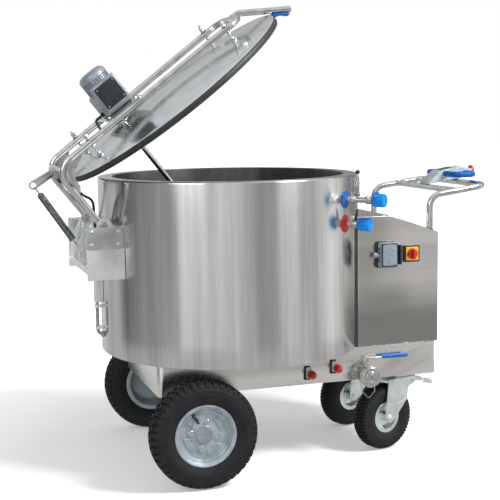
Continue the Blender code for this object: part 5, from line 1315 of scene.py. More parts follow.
def dress_switches():
    """Isolator switch and charging socket."""
    x, z, y = TANK_X + 0.653, 0.787, FRONT_Y
    case = softened(plate(box_outline(x, z, 0.0325, 0.0325, 0.004), y - 0.009, y - GAP), 0.0012, 3)
    done("isolator_case", case, BLACK_PLASTIC, "cart", "isolator_base")
    face = softened(plate(box_outline(x, z, 0.0262, 0.0262, 0.003), y - 0.0115, y - 0.008), 0.0008, 2)
    ring = [(0.0225, 0), (0.0255, 0), (0.0255, 0.0008), (0.0225, 0.0012)]
    ring = turned(ring, facing(FRONT, (x, y - 0.011, z)), 64, ring=True)
    spots = [facing(FRONT, (x + a * 0.0232, y - 0.011, z + b * 0.0232)) for a, b in CORNERS]
    screws = [screw_head(spot, 0.0022, 0.001) for spot in spots]
    done("isolator_face", joined(face, ring, *screws), YELLOW, "cart", "isolator_base")
    out = facing(FRONT, (x, y - 0.0118, z))
    disc = [
        (0.0205, 0), (0.021, 0.0006), (0.021, 0.0062), (0.0198, 0.008), (0.018, 0.0088),
        (0.006, 0.009)
    ]
    disc = turned(disc, out, 48)
    finger = settle(block((-0.0062, -0.0198, 0.005), (0.0062, 0.0198, 0.0258), 0.0028, 4), out)
    done("isolator_handle", joined(disc, finger), RED, "isolator_knob", "isolator_knob")

    x, z = TANK_X + 0.543, 0.79
    hull = softened(plate(box_outline(x, z, 0.036, 0.048, 0.008), y - 0.04, y - GAP), 0.0035, 4)
    lip = softened(plate(box_outline(x - 0.002, z, 0.04, 0.051, 0.008), y - 0.012, y - 0.004), 0.0012, 2)
    gasket = softened(plate(box_outline(x, z, 0.0335, 0.0455, 0.006), y - 0.0405, y - 0.0375), 0.0006, 1)
    teeth = []
    for s in (-1, 1):
        h = z + s * 0.047
        for k in range(6):
            a = x - 0.0275 + 0.011 * k
            teeth.append(
                block((a - 0.0022, y - 0.038, h - 0.0022), (a + 0.0022, y - 0.013, h + 0.0022), 0.0006, 1)
            )
        for k in range(2):
            h = z + s * (0.01 + 0.012 * k)
            teeth.append(
                block((x - 0.0378, y - 0.038, h - 0.002), (x - 0.034, y - 0.013, h + 0.002), 0.0006, 1)
            )
    done("socket_gasket", joined(gasket, lip, *teeth), BLACK_PLASTIC, "cart", "charging_socket")
    cover = softened(
        plate(box_outline(x + 0.001, z, 0.029, 0.041, 0.006), y - 0.0425, y - 0.04), 0.001, 2
    )
    parts = [hull, cover]
    gland = [
        (0.0105, 0), (0.011, 0.001), (0.011, 0.012), (0.009, 0.014), (0.009, 0.018), (0.0105, 0.019),
        (0.0105, 0.027), (0.008, 0.0285)
    ]
    parts.append(turned(gland, facing((-1, 0, 0), (x - 0.03, y - 0.022, z)), 24))
    for s in (-1, 1):
        parts.append(hex_bolt(facing((-1, 0, 0), (x - 0.036, y - 0.03, z + s * 0.036)), 0.005, 0.005))
        h = z + s * 0.043
        parts.append(
            block((x + 0.03, y - 0.014, h - 0.004), (x + 0.05, y - 0.006, h + 0.004), 0.001, 2)
        )
        for a in (-1, 1):
            parts.append(
                screw_head(
                    facing(FRONT, (x + 0.001 + a * 0.0235, y - 0.0422, z + s * 0.0355)), 0.0033, 0.0014
                )
            )
    done("socket_housing", joined(*parts), CAST_GREY, "cart", "charging_socket")
    hinge_x, hinge_y = x + 0.046, y - 0.01
    lo, hi = z - 0.0387, z + 0.0387
    barrel = bar((hinge_x, hinge_y, lo), (hinge_x, hinge_y, hi), 0.005, 24, 0.0006)
    leaf = plate(
        box_outline(hinge_y - 0.019, z, 0.017, 0.0387, 0.004), hinge_x - 0.004, hinge_x + 0.004, "YZ"
    )
    flap = softened(leaf, 0.0012, 3)
    ribs = []
    for h in (-0.026, -0.013, 0.0, 0.013, 0.026):
        start = (hinge_x + 0.0034, hinge_y - 0.034, z + h - 0.001)
        ribs.append(block(start, (hinge_x + 0.0046, hinge_y - 0.006, z + h + 0.001), 0.0004, 1))
    done("socket_lid", joined(barrel, flap, *ribs), BLACK_PLASTIC, "socket_flap", "socket_flap")


# Push handle and control head
def rail_z(x):
    """Height of the handle's rising side rail."""
    return KNEE_Z + HANDLE_RISE * (x - HANDLE_X) / HANDLE_RUN


def dress_handle():
    """Push handle with control head, buttons and grip loops."""
    half = HANDLE_HALF_Y
    rail = [(HANDLE_X, TANK_FLOOR_Z + GAP), (HANDLE_X, KNEE_Z), (HANDLE_END_X, HANDLE_END_Z)]
    corners = [at(x, -half, z) for x, z in rail] + [at(x, half, z) for x, z in reversed(rail)]
    loop = tube(corners, TUBE_R, 0.05, sides=6)
    z = rail_z(CROSS_X)
    cross = bar(at(CROSS_X, -half, z), at(CROSS_X, half, z), TUBE_R * 0.995, 32)
    ends = [at(CROSS_X, s * (half - TUBE_R + 0.001), z) for s in (-1, 1)]
    beads = [bead(end, (0, 1, 0), TUBE_R + 0.0002, 0.0012) for end in ends]
    done("bent_handle", joined(loop, cross, *beads), TUBE, "cart", "push_handle")

    lift = (TUBE_R + GAP) * hypot(1, HANDLE_RISE / HANDLE_RUN)
    start, end, wide = 0.843, 1.05, 0.04
    start_z, end_z = rail_z(start) + lift, rail_z(end) + lift
    crown = end_z + 0.038
    line = [(start, start_z), (end, end_z), (end, crown - 0.008), (end - 0.03, crown), (end - 0.08, crown)]
    line += [(start + 0.06, crown - 0.012), (start + 0.012, start_z + 0.014)]
    hull = softened(plate(from_axis(line), -wide, wide), 0.005, 5, 15)
    button_z = (end_z + crown) / 2
    stem = 0.0087
    hole = bar(at(end - 0.03, 0, button_z), at(end + 0.01, 0, button_z), stem, 32)
    key_x = end - 0.055
    well = bar(at(key_x, 0, crown - 0.0245), at(key_x, 0, crown + 0.03), stem, 32)
    seam = [(start + 0.004, start_z + 0.0125), (end + 0.003, end_z + 0.0125)]
    seam += [(end + 0.003, end_z + 0.0137), (start + 0.004, start_z + 0.0137)]
    seam = softened(plate(flat_arcs(from_axis(seam), 0.0), -wide - 0.003, wide + 0.003), 0.0001, 1)
    inner = [(start + 0.01, start_z + 0.01), (end - 0.0012, end_z + 0.01)]
    inner += [(end - 0.0012, end_z + 0.016), (start + 0.01, start_z + 0.016)]
    inner = plate(from_axis(inner), -wide + 0.0012, wide - 0.0012)
    hull = cut(hull, cut(seam, inner), hole, well)
    done("handle_head", hull, HEAD_GREY, "cart", "control_head")
    panel = [(start + 0.064, crown - 0.0112), (end - 0.082, crown + 0.0001)]
    panel += [(end - 0.082, crown - 0.004), (start + 0.064, crown - 0.016)]
    panel = softened(plate(from_axis(panel), -wide + 0.009, wide - 0.009), 0.0006, 2)
    done("head_panel", panel, DARK_GREY, "cart", "control_head")
    collar = [(stem + GAP, 0), (0.0125, 0), (0.0125, 0.0012), (stem + GAP, 0.0016)]
    collar = turned(collar, around(*at(key_x, 0, crown - 0.0006)), 40, ring=True)
    done("horn_collar", collar, BLACK_PLASTIC, "cart", "control_head")

    face = facing((1, 0, 0), at(end + 0.0083, 0, button_z))
    knob = [
        (0.008, -0.018), (0.008, 0), (0.0225, 0), (0.024, 0.0012), (0.024, 0.0065), (0.0225, 0.0095),
        (0.018, 0.0125), (0.011, 0.0143), (0.004, 0.015)
    ]
    done("stop_knob", turned(knob, face, 56), RED, "stop_button", "stop_button")
    foot = at(key_x, 0, crown - 0.02)
    key = [(0.008, 0), (0.008, 0.024), (0.0074, 0.0254), (0.006, 0.026), (0.0035, 0.0255)]
    key = turned(key, around(*foot), 40)
    done("horn_key", key, ZINC, "horn_button", "horn_button")

    grip_z = button_z - 0.006
    for side, label in SIDES:
        near, far = side * 0.0403, side * 0.125
        corners = ((0.125, near), (0.125, far), (0.035, far), (0.035, near))
        ring = tube([at(end - back, y, grip_z) for back, y in corners], 0.012, 0.03, sides=6)
        ribs = [bead(at(end - 0.055 - 0.01 * k, far, grip_z), (1, 0, 0), 0.0118, 0.0007) for k in range(6)]
        done("grip_loop_" + label, joined(ring, *ribs), GRIP_BLUE, "cart", "control_grip_" + label)


# Hinge bracket, covers, cable and spring
def dress_bracket():
    """Hinge bracket on the tank with its bolted covers."""
    low, high, left = 0.742, 0.935, TANK_X - 0.597
    half, t = 0.212, 0.004
    widths = [-half - 0.002 + (2 * half + 0.004) * k / 24 for k in range(25)]
    angles = [asin(y / (TANK_R + 0.0008)) for y in widths]
    skin = [(TANK_X - (TANK_R + 0.0008) * cos(a), (TANK_R + 0.0008) * sin(a)) for a in angles]
    skin += [(TANK_X - (TANK_R + 0.0042) * cos(a), (TANK_R + 0.0042) * sin(a)) for a in reversed(angles)]
    parts = [softened(plate(skin, low, high, "XY"), 0.0008, 2, 50)]
    plate_y = half - t
    end = TANK_X - sqrt(TANK_R ** 2 - half ** 2) - 0.003
    for side in (-1, 1):
        low_y, high_y = sorted((side * plate_y, side * half))
        sheet = plate([(left, low), (end, low), (end, high), (left, high)], low_y, high_y)
        window = [(left + 0.03, high - 0.07), (left + 0.064, high - 0.07)]
        window += [(left + 0.064, high - 0.012), (left + 0.03, high - 0.012)]
        window = plate(window, low_y - 0.001, high_y + 0.001)
        parts.append(softened(cut(sheet, window), 0.0008, 2, 40))
        inner = TANK_X - sqrt(TANK_R ** 2 - 0.182 ** 2) - 0.003
        cheek = [(left + 0.004, low + 0.033), (inner, low + 0.033), (inner, high - 0.005)]
        cheek += arc_points((PIVOT.x, PIVOT.z), 0.026, range(0, 181, 12)) + [(left + 0.004, high - 0.075)]
        low_y, high_y = sorted((side * 0.182, side * 0.187))
        piece = plate(cheek, low_y, high_y)
        bore = bar((PIVOT.x, low_y - 0.01, PIVOT.z), (PIVOT.x, high_y + 0.01, PIVOT.z), 0.0107, 32)
        parts.append(softened(cut(piece, bore), 0.0008, 2, 40))
    tube_x, tube_z = left + TUBE_R + 0.0005, low + 0.028
    parts.append(bar((tube_x, -half + 0.001, tube_z), (tube_x, half - 0.001, tube_z), TUBE_R, 40))
    for y in (0.001 - plate_y, plate_y - 0.001):
        parts.append(bead((tube_x, y, tube_z), (0, 1, 0), TUBE_R + 0.0004, 0.0016))
    foot = at(SPRING_FOOT[0], 0, SPRING_FOOT[1])
    ring = facing((0, 1, 0), foot)
    loop = [ring @ Vector((0.012 * cos(pi * k / 12), 0.012 * sin(pi * k / 12), 0)) for k in range(24)]
    parts.append(tube(loop, 0.0025, closed=True, sides=3))
    parts.append(bar(foot - Vector((0, 0, 0.0115)), (foot.x + 0.004, 0, tube_z), 0.004, 20))
    done("hinge_housing", joined(*parts), BRIGHT_SHEET, "cart", "hinge_bracket")

    right = end - 0.002
    for side, label in SIDES:
        inner_y, outer_y = side * (half + GAP), side * (half + 0.0033)
        outline = flat_arcs(
            [(left, high - 0.08), (right, high - 0.08), (right, high), (left, high)], 0.003, 3
        )
        cover = softened(plate(outline, *sorted((inner_y, outer_y))), 0.0006, 2)
        skirt = [(left, low), (right + 0.004, low), (right + 0.004, high - 0.0815), (left, high - 0.0815)]
        skirt = softened(plate(flat_arcs(skirt, 0.002, 2), *sorted((inner_y, outer_y))), 0.0006, 2)
        done("side_skirt_" + label, skirt, BRIGHT_SHEET, "cart", "hinge_bracket")
        done("bolted_cover_" + label, cover, COVER_SHEET, "cart", "hinge_cover_" + label)
        spots = [(x, z) for x in (left + 0.018, right - 0.016) for z in (high - 0.018, high - 0.064)]
        bolts = joined(*[dome_bolt(facing((0, side, 0), (x, outer_y, z)), 0.0072) for x, z in spots])
        done("cover_bolts_" + label, bolts, BOLT, "cart", "hinge_cover_" + label)


def dress_cables():
    """Conduit down the tank, cable over the hinge and lead to the motor."""
    drop, wall, foot_z = -(TANK_R + 0.023), -(TANK_R + GAP), CONDUIT_FOOT_Z
    run = [at(drop, 0, 0.797), at(drop, 0, foot_z), at(wall, 0, foot_z)]
    conduit = tube(run, 0.0068, 0.022, sides=5)
    rings = [around(*at(drop, 0, 0.53 + 0.0046 * k)) for k in range(56)]
    rib = turned([(0.006, -0.0012), (0.007, -0.0005), (0.007, 0.0005), (0.006, 0.0012)], Matrix(), 24)
    nut = [(0.0105, 0.0), (0.0115, 0.001), (0.0115, 0.008), (0.008, 0.0095)]
    nut = turned(nut, facing((-1, 0, 0), at(wall, 0, foot_z)), 6)
    done(
        "ribbed_conduit", joined(conduit, repeated(rib, rings), nut), CONDUIT, "cart", "cable_conduit",
        angle=50
    )
    strip = block(at(drop - 0.01, -0.0125, 0.628), at(wall, 0.0125, 0.7415), 0.0022, 3)
    done("conduit_cover", strip, BRIGHT_SHEET, "cart")
    band = [(0.0075, -0.006), (0.0085, -0.006), (0.0085, 0.006), (0.0075, 0.006)]
    for z, label in ((0.53, "low"), (0.612, "high")):
        strap = turned(band, around(*at(drop, 0, z)), 32, ring=True)
        lug = block(at(drop + 0.006, -0.012, z - 0.005), at(wall, 0.012, z + 0.005), 0.001, 2)
        done("conduit_clip_" + label, joined(strap, lug), BRIGHT_SHEET, "cart")

    cable_x, leg = -0.512, -(LEG_Y - TUBE_R - CABLE_R - GAP)
    shut = [at(cable_x, leg, 1.067), at(cable_x, leg, 1.097)]
    loop = [at(drop, 0, 0.7973), at(drop, 0, 0.827), at(drop - 0.006, -0.04, 0.892)]
    loop += [at(drop - 0.014, -0.08, 0.957), at(drop - 0.022, -0.105, 1.027)]
    loop += [OPENING @ end for end in shut]
    points = arcs(loop, 0.045, steps=6)
    cable = tube(points, CABLE_R, sides=4)
    cable.name = "hinge_lead"
    cable.data.materials.append(CABLE)
    pick(cable)
    bpy.ops.object.shade_smooth_by_angle(angle=radians(60))
    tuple(loop[1])
    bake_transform(cable)
    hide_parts("hinge_cable")
    length = sum((b - a).length for a, b in zip(points, points[1:]))
    tuple(points[0])
    [tuple(p) for p in points]

    base = MOTOR_BASE_H
    entry = MOTOR_T - 0.0603
    lead = [at(cable_x, leg, 1.0973), at(cable_x, leg, 1.121), at(-0.49, leg, LID_Z + LEG_H - 0.034)]
    lead += [lid_at(-0.44, leg, LEG_H), lid_at(-0.31, leg, LEG_H)]
    lead += [lid_at(t, -0.04, base + 0.02) for t in (entry - 0.04, entry)]
    on_lid("motor_lead", tube(lead, CABLE_R, 0.014, sides=4), CABLE, "motor_cable", angle=60)
    gland = [(0.0075, 0), (0.0095, 0.001), (0.0095, 0.008), (0.007, 0.01)]
    gland = turned(gland, facing((-1, 0, 0), lead[-1]), 6)
    on_lid("lead_gland", gland, BLACK_PLASTIC)


def dress_spring():
    """Lid spring: coil below, drawbar above."""
    foot = at(SPRING_FOOT[0], 0, SPRING_FOOT[1])
    eye = OPENING @ at(LEVER_EYE[0], 0, LEVER_EYE[1])
    line = (eye - foot).normalized()
    side = Vector((0, 1, 0))
    axes = Matrix((side, line.cross(side), line)).transposed().to_4x4()
    length = (eye - foot).length
    low = Matrix.Translation(foot + line * 0.0076) @ axes
    high = Matrix.Translation(eye - line * 0.0073) @ axes
    start = 2 * HOOK_R + 0.014
    end = length - 2 * HOOK_R - 0.018
    place = Matrix.Translation(foot) @ axes

    def hook(matrix, sign):
        angles = [radians(-75 + 15 * k) for k in range(21)]
        return [matrix @ Vector((HOOK_R * cos(a), 0, sign * (HOOK_R - HOOK_R * sin(a)))) for a in angles]

    wire = hook(low, 1)
    turns, per_turn = 56, 16
    wire_r = 0.00165
    reach = 0.0135 - wire_r
    for k in range(turns * per_turn + 1):
        a = 2 * pi * k / per_turn
        wire.append(
            place @ Vector((reach * cos(a), reach * sin(a), start + (end - start) * k / (turns * per_turn)))
        )
    coil = tube(wire, wire_r, sides=2)
    done("spring_turns", coil, SPRING_STEEL, "spring_lower", "spring_coil", angle=60)
    tail = hook(high, -1)
    tail += [place @ Vector((0, 0, end + 0.006)), place @ Vector((0, 0, end - 0.085))]
    rod = tube(tail, 0.002, sides=3)
    stop = [(0.004, 0), (0.0095, 0.0006), (0.0095, 0.005), (0.004, 0.0058)]
    stop = turned(stop, place @ around(0, 0, end - 0.085), 24)
    plug = [(0.006, -0.004), (0.0085, -0.002), (0.011, 0.0), (0.011, 0.003), (0.004, 0.007)]
    plug = turned(plug, place @ around(0, 0, end), 24)
    done("spring_drawbar", joined(rod, stop, plug), SPRING_STEEL, "spring_upper", "spring_hook", angle=50)


# Lid
def dome_top(r):
    """Height of the dome above the lid's plane at a radius."""
    return SEAL_H + 0.0023 + 0.045 * (1 - (r / LID_R) ** 2)


def capsule(start, end, start_r, end_r, steps=12):
    """Outline of a flat bar with two round ends."""
    along = Vector(end) - Vector(start)
    heading = -Vector((1, 0)).angle_signed(along)
    points = []
    for centre, radius, turn in ((start, start_r, pi / 2), (end, end_r, -pi / 2)):
        for k in range(steps + 1):
            a = heading + turn + pi * k / steps
            points.append((centre[0] + radius * cos(a), centre[1] + radius * sin(a)))
    return points


def dress_lid():
    """Domed lid with rim rubber and hanger studs."""
    axis = Matrix.Translation(lid_at(0, 0, 0))
    radii = [LID_R * (1 - (k / 17) ** 1.3) for k in range(17)] + [0.003]
    top = [(r, dome_top(r)) for r in radii]
    under = [(r, dome_top(r) - 0.002) for r in reversed(radii)]
    edge = [(LID_R - 0.001, dome_top(LID_R) - 0.002), (LID_R + 0.0004, dome_top(LID_R) - 0.001)]
    dome = turned(under[:-1] + edge + top[1:], axis, 160)
    hole = bar(lid_at(SHAFT_T, 0, 0), lid_at(SHAFT_T, 0, 0.2), 0.012, 32)
    dome = cut(dome, hole)
    skirt = dome_top(0.2)
    collar = [
        (0.0125, skirt - 0.003), (0.026, skirt - 0.001), (0.026, skirt + 0.004), (0.0125, skirt + 0.006)
    ]
    collar = turned(collar, around(*lid_at(SHAFT_T, 0, 0)), 40, ring=True)
    on_lid("domed_lid", joined(dome, collar), MIRROR, "lid_shell", angle=30)
    outer = LID_R + 0.004
    rubber = [
        (outer - 0.028, 0.002), (outer - 0.026, 0.0002), (outer - 0.005, 0.0002), (outer - 0.0015, 0.0014)
    ]
    rubber += [(outer, 0.005), (outer, 0.0075), (outer - 0.0012, 0.0088), (outer - 0.0012, 0.01)]
    rubber += [(outer, 0.0112), (outer, 0.0185), (outer - 0.0014, 0.0212)]
    rubber += [(outer - 0.0035, SEAL_H), (outer - 0.028, SEAL_H)]
    on_lid("rim_rubber", turned(rubber, axis, 192, ring=True), SEAL, "lid_seal")

    studs = []
    for t in (-0.368, 0.29):
        for side in (-1, 1):
            foot = dome_top(hypot(t, LEG_Y)) + 0.001
            place = Matrix.Translation(lid_at(t, side * LEG_Y, 0))
            washer = [
                (0.01, foot - 0.002), (0.0145, foot - 0.0012), (0.0145, foot + 0.0022),
                (0.006, foot + 0.003)
            ]
            washer = turned(washer, place, 32)
            thread = [(0.0048, foot)]
            step = 0.0018
            h = foot + 0.003
            while h < LEG_H + TUBE_R + 0.029:
                thread += [(0.005, h), (0.0044, h + step / 2)]
                h += step
            thread.append((0.0036, LEG_H + TUBE_R + 0.03))
            rod = turned(thread, place, 16)
            nuts = []
            for z in (
                foot + 0.003, LEG_H - TUBE_R - 0.0095, LEG_H + TUBE_R + 0.0012, LEG_H + TUBE_R + 0.0112
            ):
                nut = turned(
                    [(0.0086, z), (0.0094, z + 0.001), (0.0094, z + 0.007), (0.0086, z + 0.008)], place,
                    6
                )
                nuts.append(softened(nut, 0.0005, 2, 25))
            crest = LEG_H + TUBE_R
            shim = [(0.006, crest - 0.0006), (0.012, crest - 0.0002), (0.012, crest + 0.0012)]
            shim = turned(shim, place, 32)
            studs.append(joined(washer, rod, shim, *nuts))
    on_lid("hanger_studs", joined(*studs), BOLT, "lid_shell", angle=50)
    dress_lid_frame()


def dress_lid_frame():
    """Bent tube frame that carries the lid, with its pull grip."""
    arm_x, leg_z, leg_end, bend_r = ARM_X, LID_Z + LEG_H, 0.365, 0.062
    corners = []
    for y in (-LEG_Y, LEG_Y):
        corners += [at(arm_x, y, 0.94), at(arm_x, y, leg_z), lid_at(leg_end, y, LEG_H)]
    corners[3:] = reversed(corners[3:])
    parts = [tube(corners, TUBE_R, bend_r, sides=6)]
    parts.append(bar(PIVOT - Vector((0, 0.194, 0)), PIVOT + Vector((0, 0.194, 0)), 0.01, 32, 0.001))
    dip = bend_r * (1 - sqrt(0.5))
    cross = at(arm_x + dip, 0, leg_z - dip)
    parts.append(bar(cross - Vector((0, LEG_Y, 0)), cross + Vector((0, LEG_Y, 0)), TUBE_R * 0.995, 32))
    for s in (-1, 1):
        end = cross + Vector((0, s * (LEG_Y - TUBE_R + 0.001), 0))
        parts.append(bead(end, (0, 1, 0), TUBE_R + 0.0003, 0.0014))
    corner = at(arm_x, 0, leg_z)
    edge = [(0.004, -0.13), (0.017, -0.118), (0.033, -0.1), (0.034, -0.068)]
    edge += [(0.06, -0.04), (0.1, -0.024), (0.118, -0.004)]
    edge = [(p.x, p.y) for p in arcs([(a, b, 0) for a, b in edge], 0.012, steps=4)]
    gusset = [(corner.x + a, corner.z + b) for a, b in edge]
    gusset += arc_points((corner.x + bend_r, corner.z - bend_r), bend_r, range(90, 181, 9))
    for side in (-1, 1):
        y = side * LEG_Y
        parts.append(softened(plate(gusset, y - 0.003, y + 0.003), 0.0008, 2, 40))
        hub = Vector((0, 0.017, 0))
        parts.append(
            bar(Vector((PIVOT.x, y, PIVOT.z)) - hub, Vector((PIVOT.x, y, PIVOT.z)) + hub, 0.02, 40, 0.0015)
        )
    eye = at(LEVER_EYE[0], 0, LEVER_EYE[1])
    lever = plate(capsule((cross.x, cross.z), (eye.x, eye.z), 0.013, 0.017), -0.003, 0.003)
    lever = cut(lever, bar(eye - Vector((0, 0.02, 0)), eye + Vector((0, 0.02, 0)), 0.01, 32))
    parts.append(softened(lever, 0.0008, 2, 40))
    pull = [lid_at(leg_end, 0, LEG_H), lid_at(0.405, 0, LEG_H), lid_at(0.587, 0, -0.02)]
    parts.append(tube(pull, TUBE_R * 0.995, 0.03, sides=6))
    parts.append(bead(lid_at(leg_end + TUBE_R - 0.001, 0, LEG_H), (1, 0, 0), TUBE_R + 0.0002, 0.0014))
    low = LEG_H + 0.008
    seat = plate(
        box_outline(TANK_X + MOTOR_T, 0, 0.075, LEG_Y + 0.01, 0.014), LID_Z + low, LID_Z + low + 0.006,
        "XY"
    )
    shaft_hole = bar(lid_at(SHAFT_T, 0, 0), lid_at(SHAFT_T, 0, 0.2), 0.012, 32)
    parts.append(softened(cut(seat, shaft_hole), 0.001, 2))
    for a, b in CORNERS:
        spot = lid_at(MOTOR_T + a * 0.062, b * 0.092, low + 0.006)
        parts.append(hex_bolt(around(*spot), 0.0055, 0.0045))
    on_lid("bent_lid_frame", joined(*parts), TUBE, "lid_frame")

    bend_end = Vector((0.405, LEG_H))
    along = (Vector((0.587, -0.02)) - bend_end).normalized()
    below = Vector((along.y, -along.x))
    marks = [(0.136, 0), (0.208, 0), (0.207, 0.006), (0.202, 0.0135), (0.194, 0.0128), (0.186, 0.0098)]
    marks += [(0.174, 0.0092), (0.161, 0.0098), (0.153, 0.0138), (0.145, 0.0148), (0.139, 0.008)]
    pad = [bend_end + along * a + below * (TUBE_R + GAP + b) for a, b in marks]
    grip = plate(from_axis([(p.x, LID_Z + p.y) for p in pad]), -0.016, 0.016)
    on_lid("pull_grip", softened(grip, 0.0035, 4, 35), DEEP_BLUE, "lid_grip")


def dress_motor():
    """Stirrer motor, its terminal cover, shaft and blades."""
    base = MOTOR_BASE_H
    half, height = 0.06, 0.168
    middle = base + height * 0.52
    x = TANK_X + MOTOR_T
    floor = LID_Z + base
    waist = LID_Z + middle
    parts = [block((x - half, -half, floor), (x + half, half, waist), 0.01, 5)]
    for k in range(4):
        z = floor + 0.014 + 0.021 * k
        parts.append(softened(plate(box_outline(x, 0, half, half, 0.012), z, z + 0.0035, "XY"), 0.0008, 1))
    axis = Matrix.Translation((x, 0, 0))
    r = half - 0.004
    top = LID_Z + base + height
    body = [(r - 0.003, waist - 0.006), (r - 0.003, top - 0.03), (r - 0.006, top - 0.02)]
    body += [(r - 0.01, top - 0.006), (r - 0.016, top - 0.001), (r - 0.024, top)]
    parts.append(turned(body, axis, 56))
    fin = block((x + r - 0.008, -0.0009, waist), (x + r, 0.0009, top - 0.026), 0.0006, 1)
    turns = [axis @ Matrix.Rotation(2 * pi * k / 32, 4, "Z") @ around(-x, 0) for k in range(32)]
    parts.append(repeated(fin, turns))
    ring = [
        (r - 0.004, waist - 0.001), (r + 0.001, waist), (r + 0.001, waist + 0.006),
        (r - 0.004, waist + 0.007)
    ]
    parts.append(turned(ring, axis, 56))
    cowl = [(r - 0.004, top - 0.028), (r, top - 0.027), (r, top - 0.016)]
    cowl += [(r - 0.002, top - 0.01), (r - 0.01, top - 0.003), (r - 0.018, top - 0.0005)]
    parts.append(turned(cowl, axis, 56))
    box_end = (x + 0.05, 0.01 - half, floor + 0.122)
    parts.append(block((x - 0.05, -half - 0.034, floor + 0.018), box_end, 0.006, 4))
    lid_end = (x + 0.0525, -half - 0.0255, floor + 0.1245)
    parts.append(block((x - 0.0525, -half - 0.03, floor + 0.0155), lid_end, 0.0015, 2))
    on_lid("gear_motor", joined(*parts), MOTOR_PAINT, "gearmotor")
    face = -half - 0.0343
    z = floor + 0.07
    size = 0.045
    cover = softened(plate(box_outline(x, z, size, size, 0.009), face - 0.005, face), 0.0012, 3)
    inset = plate(box_outline(x, z, size - 0.016, size - 0.016, 0.004), face - 0.0056, face - 0.004)
    inset = softened(inset, 0.0005, 1)
    on_lid("terminal_cover", joined(cover, inset), BLACK_PLASTIC, "motor_cover")
    spots = [(x + a * (size - 0.009), z + b * (size - 0.009)) for a, b in CORNERS]
    screws = [screw_head(facing(FRONT, (a, face - 0.0048, b)), 0.0042, 0.003) for a, b in spots]
    on_lid("terminal_screws", joined(*screws), BOLT, "motor_cover")

    tip = PADDLE_TIP_Z
    shaft = bar(at(SHAFT_T, 0, tip), lid_at(SHAFT_T, 0, base + 0.04), SHAFT_R, 32, 0.001)
    blades = []
    for side in (-1, 1):
        low, high = sorted((0, side * 0.15))
        blade = flat_arcs([(low, -0.03), (high, -0.03), (high, 0.03), (low, 0.03)], 0.008, 4)
        blade = softened(plate(blade, -0.002, 0.002), 0.0006, 1)
        lean = around(*at(SHAFT_T, 0, tip + 0.03)) @ Matrix.Rotation(side * radians(25), 4, "X")
        blades.append(settle(blade, lean))
    hub = [(0.015, 0.0), (0.0165, 0.0015), (0.0165, 0.0585), (0.015, 0.06)]
    hub = turned(hub, around(*at(SHAFT_T, 0, tip)), 32)
    on_lid("stirrer", joined(shaft, hub, *blades), FORGED, "agitator", body="agitator")


# Tank fittings
FACET = 2 * pi / 48


def wall_frame(degrees, z):
    """Matrix at the tank wall whose local Z points outward and local Y up."""
    a = radians(degrees)
    flat = FACET * (round(a / FACET - 0.5) + 0.5)
    outward = Vector((cos(flat), sin(flat), 0))
    along = Vector((-sin(flat), cos(flat), 0))
    reach = TANK_R * cos(FACET / 2)
    spot = outward * (reach + GAP) + along * (reach * tan(a - flat))
    return facing(outward, at(0, 0, z) + spot)


